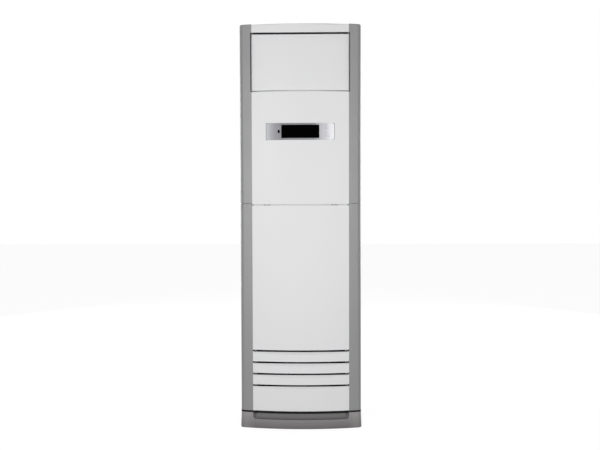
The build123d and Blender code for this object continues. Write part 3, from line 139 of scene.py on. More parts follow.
# Node graphs
class Graph:
    """Node tree of one material or world; the patterns of a material run on Object coordinates."""

    def __init__(self, name: str, world: bool = False) -> None:
        """Start an empty tree.

        Args:
            name: name of the material or world.
            world: whether it is a world.
        """
        self.owner = (bpy.data.worlds if world else bpy.data.materials).new(name)
        self.owner.use_nodes = True
        self.tree = self.owner.node_tree
        self.tree.nodes.clear()

    def node(self, kind: str, inputs: Inputs, **settings: object) -> bpy.types.Node:
        """Add a node and feed its inputs, with a link from an output or else with a constant.

        Args:
            kind: the node's type without its ShaderNode.
            inputs: output socket, number, vector or colour for each input, by name or number.
            settings: values of the node's own properties.

        Returns:
            The new node.
        """
        made = self.tree.nodes.new("ShaderNode" + kind)
        for key, value in settings.items():
            setattr(made, key, value)
        for key, value in inputs.items():
            socket = made.inputs[key]
            if isinstance(value, Socket):
                self.tree.links.new(value, socket)
            else:
                socket.default_value = (*value, 1.0) if socket.type == "RGBA" else value
        return made

    def place(self, stretch: Triple = EVEN) -> Socket:
        """Object coordinates in metres.

        Args:
            stretch: factor of x, y and z.

        Returns:
            The coordinate output.
        """
        coordinates = self.node("TexCoord", {}).outputs["Object"]
        if stretch == EVEN:
            return coordinates
        return self.node("Mapping", {"Vector": coordinates, "Scale": stretch}).outputs["Vector"]

    def axis(self, letter: str, space: str = "Object") -> Socket:
        """One coordinate, X, Y or Z; Object ones are in metres."""
        return self.node("SeparateXYZ", {0: self.node("TexCoord", {}).outputs[space]}).outputs[letter]

    def noise(self, period: float, detail: float = 2.0, stretch: Triple = EVEN) -> Socket:
        """Fractal noise from 0 to 1, with a period in metres and detail finer octaves."""
        inputs = {"Vector": self.place(stretch), "Scale": 1.0 / period, "Detail": detail}
        return self.node("TexNoise", inputs).outputs["Fac"]

    def cells(self, period: float, feature: str = "F1", output: str = "Distance",
              stretch: Triple = EVEN) -> Socket:
        """Cells of a mean size in metres: the Distance that the feature names, or their Color."""
        inputs = {"Vector": self.place(stretch), "Scale": 1.0 / period}
        return self.node("TexVoronoi", inputs, feature=feature).outputs[output]

    def bands(self, period: float, letter: str) -> Socket:
        """Bands from 0 to 1 in a sine wave along X, Y or Z, with a period in metres."""
        inputs = {"Vector": self.place(), "Scale": 2.0 * math.pi / WAVE_RATE / period}
        return self.node("TexWave", inputs, bands_direction=letter, wave_profile="SIN").outputs["Fac"]

    def spread(self, value: Socket, low: float, high: float, start: float = 0.0, end: float = 1.0) -> Socket:
        """Straight map of a value from start..end to low..high, held at the ends."""
        inputs = {"Value": value, "From Min": start, "From Max": end, "To Min": low, "To Max": high}
        return self.node("MapRange", inputs).outputs["Result"]

    def ramp(self, value: Socket, stops: Stops) -> Socket:
        """Colour ramp.

        Args:
            value: the output that drives it.
            stops: place from 0 to 1 and linear colour of each stop, in order.

        Returns:
            The colour output.
        """
        made = self.node("ValToRGB", {"Fac": value})
        elements = made.color_ramp.elements
        while len(elements) < len(stops):
            elements.new(0.5)
        for element, (place, colour) in zip(elements, stops):
            element.position = place
            element.color = (*colour, 1.0)
        return made.outputs["Color"]

    def mix(self, factor: Socket, first: Colour | Socket, second: Colour | Socket) -> Socket:
        """Blend of two colours, where the factor is the share of the second."""
        return self.node("Mix", {0: factor, 6: first, 7: second}, data_type="RGBA").outputs[2]

    def maths(self, operation: str, first: Socket | float, second: Socket | float = 0.0) -> Socket:
        """One sum on a value or two, as the Math node names it."""
        return self.node("Math", {0: first, 1: second}, operation=operation).outputs[0]

    def from_axis(self, arc: Arc) -> Socket:
        """Distance in plan from the middle of an arc about x = 0: the root of x^2 + (y - axis)^2.

        Args:
            arc: the arc.

        Returns:
            The distance output, in metres.
        """
        behind = self.maths("SUBTRACT", self.axis("Y"), arc.axis_y)
        squares = [self.maths("MULTIPLY", value, value) for value in (self.axis("X"), behind)]
        return self.maths("SQRT", self.maths("ADD", *squares))

    def bump(self, height: Socket, depth: float, **under: Socket) -> Socket:
        """Normals of a relief whose depth is in metres; under may be the Normal of a coarser one."""
        return self.node("Bump", {"Height": height, "Distance": depth, **under}).outputs["Normal"]

    def pitted(self, period: float, depth: float, detail: float = 2.0) -> Socket:
        """Normals of a noise, with its period and depth in metres."""
        return self.bump(self.noise(period, detail), depth)

    def finish_by_ray(self, kind: str, lit: Socket, seen: Socket) -> None:
        """Close the tree with one shader for camera, glossy and transmission rays and one for the rest.

        Args:
            kind: the output node's type without its ShaderNode.
            lit: shader that lights the object.
            seen: shader that is seen, directly or in metal and glass.
        """
        rays = self.node("LightPath", {}).outputs
        straight = self.maths("MAXIMUM", rays["Is Camera Ray"], rays["Is Glossy Ray"])
        straight = self.maths("MAXIMUM", straight, rays["Is Transmission Ray"])
        self.node(kind, {"Surface": self.node("MixShader", {0: straight, 1: lit, 2: seen}).outputs[0]})


# Finishes
class Grain(Enum):
    """Relief of a smooth surface: period and depth in metres, and detail."""

    POLISHED = (2.5 * MM, 0.004 * MM, 2.0)
    SATIN = (0.9 * MM, 0.012 * MM, 2.0)
    SPARK = (0.6 * MM, 0.030 * MM, 2.0)
    PEEL = (2.2 * MM, 0.02 * MM, 2.0)
    WAVE = (30.0 * MM, 0.002 * MM, 1.0)


@dataclass(frozen=True)
class Finish:
    """What the finishes share.

    These are the colour, the mean roughness, the factors of the colour's two end shades, how far the
    roughness strays down and up, and two constants of the shader.
    """

    name: str
    colour: Colour
    roughness: float = 0.45
    shades: Pair = (0.988, 1.012)
    stray: Pair = (0.03, 0.03)
    metallic: float = 0.0
    specular: float = 0.5

    def shaded(self, g: Graph, factor: Socket) -> Socket:
        """The colour from its first to its second shade, by the factor."""
        return g.mix(factor, *(scaled(self.colour, shade) for shade in self.shades))

    def rubbed(self, g: Graph, value: Socket, span: Pair = NOISE_SPAN) -> Socket:
        """The roughness from its least to its most, over a span of the value."""
        return g.spread(value, self.roughness - self.stray[0], self.roughness + self.stray[1], *span)

    def inputs(self, g: Graph) -> Inputs:
        """What the shader gets beside the constants; each kind of finish has its own."""
        raise NotImplementedError

    def material(self) -> bpy.types.Material:
        """Node material of the finish, on a Principled shader.

        Returns:
            The material.
        """
        g = Graph(self.name)
        plain = {"Roughness": self.roughness, "Metallic": self.metallic, "Specular IOR Level": self.specular}
        shader = g.node("BsdfPrincipled", plain | self.inputs(g))
        g.node("OutputMaterial", {"Surface": shader.outputs[0]})
        return g.owner


@dataclass(frozen=True)
class Moulded(Finish):
    """Injection moulded plastic: fine grain, a little mottle and rubbed patches that shine more."""

    specular: float = 0.4
    grain: Grain = Grain.SATIN
    coat: float = 0.0
    coat_roughness: float = 0.12
    cloud: Pair = (220.0 * MM, 2.0)
    patch: Pair = (70.0 * MM, 3.0)

    def inputs(self, g: Graph) -> Inputs:
        """Mottle and rubbed patches of slow noises over the grain.

        Args:
            g: the material's graph.

        Returns:
            The shader's inputs.
        """
        return {"Base Color": self.shaded(g, g.noise(*self.cloud)), "Coat Weight": self.coat,
                "Coat Roughness": self.coat_roughness, "Roughness": self.rubbed(g, g.noise(*self.patch)),
                "Normal": g.pitted(*self.grain.value)}


@dataclass(frozen=True)
class PaintedSheet(Moulded):
    """Powder painted steel: orange peel and a faint dusting of the texture."""

    roughness: float = 0.5
    shades: Pair = (0.985, 1.012)
    stray: Pair = (0.04, 0.04)
    grain: Grain = Grain.PEEL
    cloud: Pair = (350.0 * MM, 3.0)
    patch: Pair = (120.0 * MM, 2.0)


@dataclass(frozen=True)
class SmokedLens(Moulded):
    """Nearly black acrylic with a faint haze and a slow wave of its surface."""

    roughness: float = 0.07
    shades: Pair = (1.0, 1.6)
    stray: Pair = (0.02, 0.02)
    specular: float = 0.008
    grain: Grain = Grain.WAVE
    cloud: Pair = (50.0 * MM, 2.0)
    patch: Pair = (50.0 * MM, 2.0)


@dataclass(frozen=True)
class FootPlastic(Finish):
    """Sparked grey plastic of the plinth, with painted shade low down and in the middle and in the finger
    trough.
    """

    roughness: float = 0.5
    shades: Pair = (0.98, 1.02)
    stray: Pair = (0.04, 0.04)
    specular: float = 0.35
    cloud: Pair = (50.0 * MM, 3.0)
    pits: Pair = (0.6 * MM, 0.02 * MM)
    # painted shade: the colour's factor where the painted shade is fullest
    dark: float = 0.4
    # painted shade towards the floor, stronger in the middle than at the sides: its strengths, top and x
    # span
    floor_shade: Pair = (1.0, 0.6)
    floor_shade_top: float = 66.0 * MM
    side_x: Pair = (205.0 * MM, 245.0 * MM)
    # painted shade in the finger trough: its strength, the x where it stops and the depths where it grows
    # and dies out
    trough: float = 0.42
    trough_x: float = 217.0 * MM
    trough_near: Pair = (1.0 * MM, 8.0 * MM)
    trough_far: Pair = (60.0 * MM, 80.0 * MM)
    bow: Arc = BOW

    def inputs(self, g: Graph) -> Inputs:
        """Painted shade low down and in the trough, which x and the depth behind the bow tell.

        Args:
            g: the material's graph.

        Returns:
            The shader's inputs.
        """
        aside = g.maths("ABSOLUTE", g.axis("X"))
        # painted shade: darker towards the floor, more in the middle than at the sides
        low = g.spread(g.axis("Z"), 1.0, 0.0, 0.0, self.floor_shade_top)
        floor_shaded = g.maths("MULTIPLY", low, g.spread(aside, *self.floor_shade, *self.side_x))
        # painted shade in the trough, growing and then dying out with the depth behind the bow
        depth = g.maths("SUBTRACT", self.bow.radius, g.from_axis(self.bow))
        inside = g.maths("MULTIPLY", g.spread(depth, 0.0, self.trough, *self.trough_near),
                         g.spread(depth, 1.0, 0.0, *self.trough_far))
        inside = g.maths("MULTIPLY", inside, g.spread(aside, 1.0, 0.0, self.trough_x, self.trough_x + MM))
        # painted shade: the larger of the two masks
        darker = g.maths("MAXIMUM", floor_shaded, inside)
        cloud = g.noise(*self.cloud)
        return {"Base Color": g.mix(darker, self.shaded(g, cloud), scaled(self.colour, self.dark)),
                "Roughness": self.rubbed(g, cloud), "Normal": g.pitted(*self.pits)}


@dataclass(frozen=True)
class FlakePaint(Finish):
    """Silver grey paint on plastic: fine bright flakes under a satin lacquer."""

    shades: Pair = (0.95, 1.12)
    metallic: float = 0.14
    specular: float = 0.4
    flake: Pair = (0.5 * MM, 0.002 * MM)
    flake_span: Pair = (0.45, 0.95)
    lacquer: float = 1.02
    cloud: Pair = (300.0 * MM, 2.0)
    patch: Pair = (100.0 * MM, 3.0)
    peel: Triple = (3.5 * MM, 0.006 * MM, 1.0)

    def inputs(self, g: Graph) -> Inputs:
        """Flakes in the colour and the relief, over the lacquer's slow clouds and its peel.

        Args:
            g: the material's graph.

        Returns:
            The shader's inputs.
        """
        flakes = g.cells(self.flake[0], output="Color")
        base = self.shaded(g, g.spread(flakes, 0.0, 1.0, *self.flake_span))
        return {"Base Color": g.mix(g.noise(*self.cloud), base, scaled(self.colour, self.lacquer)),
                "Roughness": self.rubbed(g, g.noise(*self.patch)),
                "Normal": g.bump(flakes, self.flake[1], Normal=g.pitted(*self.peel))}


@dataclass(frozen=True)
class Galvanised(Finish):
    """Zinc coated steel with its crystal spangle."""

    roughness: float = 0.42
    shades: Pair = (0.82, 1.1)
    stray: Pair = (0.08, 0.1)
    metallic: float = 0.85
    spangle: float = 9.0 * MM
    spangle_span: Pair = (0.1, 0.9)
    lying: Triple = (1.0, 1.0, 0.8)
    pits: Pair = (0.8 * MM, 0.006 * MM)

    def inputs(self, g: Graph) -> Inputs:
        """Shade and roughness that change from crystal to crystal.

        Args:
            g: the material's graph.

        Returns:
            The shader's inputs.
        """
        crystal = g.cells(self.spangle, output="Color", stretch=self.lying)
        return {"Base Color": self.shaded(g, g.spread(crystal, 0.0, 1.0, *self.spangle_span)),
                "Roughness": self.rubbed(g, crystal, WHOLE), "Normal": g.pitted(*self.pits)}


@dataclass(frozen=True)
class BrushedTrim(Finish):
    """Silver hot-stamped trim with brush lines along x and a painted reflection from grey to light silver.

    The colour is that of its brush lines. The painted reflection lists x in millimetres and the level there,
    on a slightly blue grey. A brush gives the period and detail of its lines and how far they are drawn out.
    """

    stray: Pair = (0.06, 0.08)
    metallic: float = 0.12
    specular: float = 0.25
    half_length: float = 152.0 * MM
    # painted reflection: levels along x, darkest in the middle and lightest at the right end
    reflection_fade: tuple[Pair, ...] = (
        (-148.0, 187.0), (-131.0, 162.0), (-111.0, 142.0), (-80.0, 128.0), (62.0, 134.0),
        (88.0, 180.0), (116.0, 202.0), (131.0, 222.0), (148.0, 233.0))
    tint: float = 4.0
    fine: Triple = (0.35 * MM, 3.0, 0.012)
    coarse: Triple = (1.6 * MM, 2.0, 0.03)
    streak: float = 0.06
    depth: float = 0.004 * MM
    anisotropy: float = 0.6

    def inputs(self, g: Graph) -> Inputs:
        """The painted reflection under fine brush lines, with coarser ones in its roughness.

        Args:
            g: the material's graph.

        Returns:
            The shader's inputs.
        """
        # painted reflection laid along x over the surround
        place = g.spread(g.axis("X"), 0.0, 1.0, -self.half_length, self.half_length)
        painted_reflection = g.ramp(place, [(0.5 + 0.5 * x * MM / self.half_length, tone(level, level, level + self.tint))
                               for x, level in self.reflection_fade])
        lines, broad = (g.noise(period, detail, (drawn, 1.0, 1.0))
                        for period, detail, drawn in (self.fine, self.coarse))
        return {"Base Color": g.mix(g.spread(lines, self.streak, 0.0, *NOISE_SPAN), painted_reflection, self.colour),
                "Roughness": self.rubbed(g, broad), "Anisotropic": self.anisotropy,
                "Normal": g.bump(lines, self.depth)}


@dataclass(frozen=True)
class Circuit(Finish):
    """Green solder mask over copper tracks, with tinned pads in a raster."""

    roughness: float = 0.35
    shades: Pair = (1.0, 1.9)
    coat: float = 0.3
    net: float = 7.0 * MM
    track_edge: Pair = (0.05, 0.09)
    track_h: float = 0.035 * MM
    raster: float = 2.54 * MM
    pad_edge: Pair = (0.16, 0.22)
    tin: Colour = tone(170, 172, 174)
    tin_metallic: float = 0.8

    def inputs(self, g: Graph) -> Inputs:
        """Raised lighter tracks along the cells' edges, and pads about the cells' middles.

        Args:
            g: the material's graph.

        Returns:
            The shader's inputs.
        """
        track = g.spread(g.cells(self.net, "DISTANCE_TO_EDGE"), 1.0, 0.0, *self.track_edge)
        pads = g.spread(g.cells(self.raster), 1.0, 0.0, *self.pad_edge)
        return {"Base Color": g.mix(pads, self.shaded(g, track), self.tin), "Coat Weight": self.coat,
                "Metallic": g.spread(pads, 0.0, self.tin_metallic), "Normal": g.bump(track, self.track_h)}


@dataclass(frozen=True)
class BeadFoam(Finish):
    """Expanded polystyrene with its fused beads."""

    roughness: float = 0.85
    shades: Pair = (0.9, 1.0)
    specular: float = 0.2
    bead: float = 3.2 * MM
    seam: Pair = (0.12, 0.15 * MM)

    def inputs(self, g: Graph) -> Inputs:
        """Dark sunken seams between the beads."""
        seams = g.spread(g.cells(self.bead, "DISTANCE_TO_EDGE"), 0.0, 1.0, 0.0, self.seam[0])
        return {"Base Color": self.shaded(g, seams), "Normal": g.bump(seams, self.seam[1])}


@dataclass(frozen=True)
class FinPack(Finish):
    """Aluminium fins of the coil: fine upright stripes, painted shade between the fins, blue tinted coating.
    """

    roughness: float = 0.4
    # painted shade: the factor of the colour between the fins
    shades: Pair = (0.55, 1.0)
    metallic: float = 0.8
    fin: Pair = (1.8 * MM, 0.4 * MM)
    cloud: Pair = (50.0 * MM, 3.0)
    cloudy: float = 0.9

    def inputs(self, g: Graph) -> Inputs:
        """Stripes across x, the darker ones painted shade between the fins, mottled by a slow noise.

        Args:
            g: the material's graph.

        Returns:
            The shader's inputs.
        """
        fins, cloudy = g.bands(self.fin[0], "X"), scaled(self.colour, self.cloudy)
        return {"Base Color": g.mix(g.noise(*self.cloud), self.shaded(g, fins), cloudy),
                "Normal": g.bump(fins, self.fin[1])}


@dataclass(frozen=True)
class WarmMetal(Finish):
    """Copper or brass with a brown bloom where it was heated and handled."""

    roughness: float = 0.3
    stray: Pair = (0.0, 0.18)
    metallic: float = 0.95
    bloom: Colour = tone(140, 78, 52)
    bloom_span: Pair = (0.42, 0.72)
    cloud: Pair = (30.0 * MM, 4.0)
    pits: Pair = (1.5 * MM, 0.01 * MM)

    def inputs(self, g: Graph) -> Inputs:
        """The bloom where a noise is high, rougher there.

        Args:
            g: the material's graph.

        Returns:
            The shader's inputs.
        """
        stain = g.spread(g.noise(*self.cloud), 0.0, 1.0, *self.bloom_span)
        return {"Base Color": g.mix(stain, self.colour, self.bloom),
                "Roughness": self.rubbed(g, stain, WHOLE), "Normal": g.pitted(*self.pits)}


@dataclass(frozen=True)
class TurnedSteel(Finish):
    """Machined or pressed steel with faint tool lines."""

    roughness: float = 0.32
    shades: Pair = (0.9, 1.08)
    stray: Pair = (0.06, 0.1)
    metallic: float = 0.9
    tool: Pair = (0.5 * MM, 0.004 * MM)
    along: Triple = (1.0, 0.1, 1.0)
    patch: Pair = (20.0 * MM, 3.0)

    def inputs(self, g: Graph) -> Inputs:
        """Lines drawn out along y, and rubbed patches.

        Args:
            g: the material's graph.

        Returns:
            The shader's inputs.
        """
        lines = g.noise(self.tool[0], stretch=self.along)
        return {"Base Color": self.shaded(g, lines), "Roughness": self.rubbed(g, g.noise(*self.patch)),
                "Normal": g.bump(lines, self.tool[1])}


@dataclass(frozen=True)
class RibbedHose(Finish):
    """Grey flexible hose whose ribs follow its upright run."""

    roughness: float = 0.6
    shades: Pair = (0.92, 1.04)
    specular: float = 0.3
    rib: Pair = (5.0 * MM, 0.5 * MM)
    # painted shade: the colour's factor in the hollows between the ribs
    groove_shade: float = 0.8
    cloud: Pair = (60.0 * MM, 2.0)

    def inputs(self, g: Graph) -> Inputs:
        """Ribs across z with painted shade in their hollows, over a slow mottle.

        Args:
            g: the material's graph.

        Returns:
            The shader's inputs.
        """
        ribs, groove_shade = g.bands(self.rib[0], "Z"), scaled(self.colour, self.groove_shade)
        return {"Base Color": g.mix(ribs, groove_shade, self.shaded(g, g.noise(*self.cloud))),
                "Normal": g.bump(ribs, self.rib[1])}


@dataclass(frozen=True)
class FilterNet(Finish):
    """Dark net between the washable filter's bars, darker still as painted shade: threads over gaps painted
    as shade.
    """

    roughness: float = 0.6
    # painted shade: the gaps between the threads at 0.35 of the colour
    shades: Pair = (0.35, 1.0)
    specular: float = 0.3
    thread: Pair = (1.4 * MM, 0.2 * MM)
    thread_span: Pair = (0.55, 0.9)

    def inputs(self, g: Graph) -> Inputs:
        """Threads along x and z: the larger of two bands.

        Args:
            g: the material's graph.

        Returns:
            The shader's inputs.
        """
        threads = g.maths("MAXIMUM", *(g.bands(self.thread[0], letter) for letter in "XZ"))
        return {"Base Color": self.shaded(g, g.spread(threads, 0.0, 1.0, *self.thread_span)),
                "Normal": g.bump(threads, self.thread[1])}


def dress(finish: Finish, *nodes: str) -> bpy.types.Material:
    """Put one finish on nodes of the CAD model.

    Args:
        finish: the finish.
        nodes: names of the nodes.

    Returns:
        The material, for pieces that share it.
    """
    material = finish.material()
    for name in nodes:
        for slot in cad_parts[name].material_slots:
            slot.material = material
        log.info("%s wears %s", name, finish.name)
    return material


# Surfaces
def carried(path: np.ndarray, across: np.ndarray, up: np.ndarray, section: np.ndarray) -> np.ndarray:
    """Profile carried along a path: path + section width times across + section height times up.

    Args:
        path: points of the path.
        across: unit vector across the path at each point.
        up: unit vector off the surface at each point.
        section: (width, height) of each profile point, in order round it.

    Returns:
        Points as (path, profile, xyz).
    """
    return path[:, None] + section[None, :, :1] * across[:, None] + section[None, :, 1:] * up[:, None]


def bead(width: float, height: float, count: int = 12) -> np.ndarray:
    """Rounded oblong: half the width and height times the signed 0.4th powers of cosine and sine.

    Args:
        width: its width.
        height: its height.
        count: number of points.

    Returns:
        (width, height) of each point, in order round it.
    """
    turn = np.linspace(0.0, 2.0 * np.pi, count, endpoint=False)
    wave = np.stack([np.cos(turn), np.sin(turn)], axis=1)
    return np.sign(wave) * np.abs(wave) ** 0.4 * np.array([width, height]) / 2


@dataclass
class Surface:
    """Points and quads of a piece, gathered from several tubes.

    A tube is a grid of (row, column, xyz), in metres, whose last column joins its first.
    """

    points: list[np.ndarray] = field(default_factory=list)
    faces: list[np.ndarray] = field(default_factory=list)
    count: int = 0

    def add(self, tube: np.ndarray) -> None:
        """Take in a tube, with quads between neighbours; its points are numbered row by row.

        Args:
            tube: its grid.
        """
        rows, columns = tube.shape[:2]
        row, column = np.meshgrid(np.arange(rows - 1) * columns, np.arange(columns), indexing="ij")
        after = (column + 1) % columns
        quads = np.stack([row + column, row + after, row + columns + after, row + columns + column], axis=-1)
        self.points.append(tube.reshape(-1, 3))
        self.faces.append(quads.reshape(-1, 4) + self.count)
        self.count += rows * columns

    def add_closed(self, tube: np.ndarray) -> None:
        """Take in a tube whose two ends are drawn together in their middles."""
        middles = np.repeat(tube[[0, -1]].mean(axis=1, keepdims=True), tube.shape[1], axis=1)
        self.add(np.concatenate([middles[:1], tube, middles[1:]]))

    def add_level(self, line: Line, z: float, section: np.ndarray) -> None:
        """Carry a profile along a level line.

        Args:
            line: (x, y) points and the unit vectors outwards.
            z: height of the line.
            section: (outwards, upwards) of each profile point.
        """
        points, out = line
        flat = np.zeros((len(points), 1))
        up = np.tile([0.0, 0.0, 1.0], (len(points), 1))
        self.add_closed(carried(np.hstack([points, flat + z]), np.hstack([out, flat]), up, section))

    def piece(self, name: str, body: str, material: bpy.types.Material,
              sharp: float = 35.0, stands_for: tuple[str, ...] = ()) -> None:
        """Make the mesh object, with seams and poles closed and faces outwards.

        Args:
            name: name of the piece.
            body: CAD body that it rides on.
            material: its finish.
            sharp: angle in degrees above which an edge stays sharp.
            stands_for: CAD nodes that it replaces.
        """
        mesh = bpy.data.meshes.new(name)
        mesh.from_pydata(np.concatenate(self.points).tolist(), [], np.concatenate(self.faces).tolist())
        shape = bmesh.new()
        shape.from_mesh(mesh)
        bmesh.ops.remove_doubles(shape, verts=shape.verts, dist=MERGE)
        bmesh.ops.dissolve_degenerate(shape, edges=shape.edges, dist=SLIVER)
        bmesh.ops.recalc_face_normals(shape, faces=shape.faces)
        shape.to_mesh(mesh)
        shape.free()
        mesh.shade_smooth()
        mesh.set_sharp_from_angle(angle=math.radians(sharp))
        mesh.materials.append(material)
        made = linked(name, mesh)
        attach(made, body)
        if stands_for:
            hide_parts(*stands_for)
        log.info("%s: %d faces on %s", name, len(mesh.polygons), body)


# Sub-assemblies
@dataclass
class Shell:
    """White front, grey pillars and plinth, painted sheets and the screws at the rear."""

    white: Finish = Moulded("white_shell", tone(229, 229, 230), 0.42, (0.994, 1.006), specular=0.25,
                            grain=Grain.POLISHED)
    pillar: Finish = FlakePaint("pillar_grey", tone(139, 139, 140))
    plinth: Finish = FootPlastic("plinth_grey", tone(149, 146, 146))
    sheet: Finish = PaintedSheet("sheet_paint", tone(206, 206, 203))
    zinc: Finish = Galvanised("galvanised", tone(176, 179, 182))
    screw: Finish = TurnedSteel("screw_steel", tone(168, 168, 170), 0.28)
    head_r: float = 4.0 * MM
    head_h: float = 2.0 * MM
    head_rim: float = 0.7 * MM
    shank_r: float = 2.0 * MM
    shank_l: float = 8.0 * MM
    cross_r: float = 2.3 * MM
    cross_w: float = 0.55 * MM
    cross_d: float = 1.3 * MM
    cross_soft: Pair = (0.25 * MM, 0.4 * MM)
    lean: float = 0.7
    sill_x: float = 214.0 * MM
    sill_z: Triple = (1494.0 * MM, 1506.0 * MM, 1508.0 * MM)
    sill_d: Pair = (10.5 * MM, 13.0 * MM)
    sill_round: float = 1.2 * MM
    bow: Arc = BOW

    def screw_grid(self, rings: int = 26, spokes: int = 48) -> np.ndarray:
        """One screw about +Y with its seat at y = 0.

        A point is (r sin t, y, r cos t). The rings run from the middle of the head over its dome, down the
        rim and along the shank to its tip. On the dome y is the head's height over its rim times the square
        root of 1 - (r / head)^2, plus the rim, less the recess. The recess is a soft step that is one where
        the lesser of |x| and |z| is under the slot's half width and r is under the cross's radius.

        Args:
            rings: number of rings over the dome.
            spokes: number of spokes.

        Returns:
            Points as (ring, spoke, xyz).
        """
        angle = np.linspace(0.0, 2.0 * np.pi, spokes, endpoint=False)
        r = self.head_r * np.linspace(0.0, 1.0, rings)[:, None] * np.ones(spokes)
        x, z = r * np.sin(angle), r * np.cos(angle)
        rise = np.sqrt(np.clip(1.0 - (r / self.head_r) ** 2, 0.0, 1.0))
        arm = np.minimum(np.abs(x), np.abs(z))
        inside = np.clip((self.cross_w - arm) / self.cross_soft[0] + 0.5, 0.0, 1.0)
        inside *= np.clip((self.cross_r - r) / self.cross_soft[1] + 0.5, 0.0, 1.0)
        y = self.head_rim + (self.head_h - self.head_rim) * rise - self.cross_d * inside
        outline = [(self.head_r, 0.0), (self.shank_r, 0.0), (self.shank_r, self.shank_r - self.shank_l),
                   (0.0, -self.shank_l)]
        below = [np.stack([across * np.sin(angle), np.full(spokes, down), across * np.cos(angle)], axis=-1)
                 for across, down in outline]
        return np.concatenate([np.stack([x, y, z], axis=-1), np.stack(below)])

    def add_screws(self) -> None:
        """Cross headed screws in the place of the plain CAD ones, each turned further than the last.

        The CAD screws' heads stand highest in y. The middle of each is found among the points above half a
        head's height, gathered in cells two heads wide.
        """
        surface = Surface()
        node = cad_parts["cabinet_screws"]
        points = np.zeros(len(node.data.vertices) * 3)
        node.data.vertices.foreach_get("co", points)
        points = points.reshape(-1, 3)
        seat = points[:, 1].max() - self.head_h
        heads = points[points[:, 1] > seat + self.head_h / 2]
        cells = np.round(heads[:, [0, 2]] / (4 * self.head_r)).astype(int)
        x, y, z = np.moveaxis(self.screw_grid(), -1, 0)
        for count, cell in enumerate(np.unique(cells, axis=0)):
            head = heads[(cells == cell).all(axis=1)]
            centre = (head.min(axis=0) + head.max(axis=0)) / 2
            c, s = math.cos(self.lean * count), math.sin(self.lean * count)
            surface.add(np.stack([x * c - z * s + centre[0], y + seat, x * s + z * c + centre[2]], axis=-1))
        surface.piece("rear_screws", "cabinet", self.screw.material(), sharp=40.0,
                      stands_for=("cabinet_screws",))

    def add_sill(self, material: bpy.types.Material) -> None:
        """Crowned sill behind the display panel's upper edge, under the closed door.

        A point is (r sin a, axis - r cos a, z). The upper edge's z rises from the ends to the middle with
        1 - (a / end)^2. Between the two radii it is rounded: with t over half a turn, the radius goes with
        cos t and the drop with 1 - sin t.

        Args:
            material: finish of the white panels.
        """
        end = self.bow.angle(self.sill_x)
        angle = np.linspace(-end, end, 81)
        low, side, crown = self.sill_z
        top = side + (crown - side) * (1.0 - (angle / end) ** 2)
        near, far = (self.bow.radius - depth for depth in self.sill_d)
        turn = np.linspace(0.0, np.pi, 7)
        radii = np.concatenate([[near], (near + far) / 2 + (near - far) / 2 * np.cos(turn), [far]])
        drop = np.concatenate([[0.0], 1.0 - np.sin(turn), [0.0]]) * self.sill_round
        height = top[:, None] - drop
        height[:, [0, -1]] = low
        surface = Surface()
        surface.add_closed(np.stack([radii * np.sin(angle)[:, None],
                                     self.bow.axis_y - radii * np.cos(angle)[:, None], height], axis=-1))
        surface.piece("door_sill", "cabinet", material)

    def build(self) -> None:
        """Dress the shell's nodes and add the sill and the screws."""
        white = dress(self.white, "top_cover", "display_panel", "intake_panel", "outlet_door")
        self.add_sill(white)
        dress(self.pillar, "pillar_upper_left", "pillar_upper_right",
              "pillar_lower_left", "pillar_lower_right")
        dress(self.plinth, "base_plinth")
        dress(self.sheet, "side_panel_left", "side_panel_right", "rear_panel")
        dress(self.zinc, "base_pan", "fan_partition", "scroll_housing", "scroll_front_plate",
              "electric_box", "electric_box_cover", "anti_tip_bracket")
        self.add_screws()


class Mark(Enum):
    """Small generic signs printed beside the buttons."""

    POWER = "power"
    MODE = "mode"
    FAN_SPEED = "fan_speed"
    SWING = "swing"


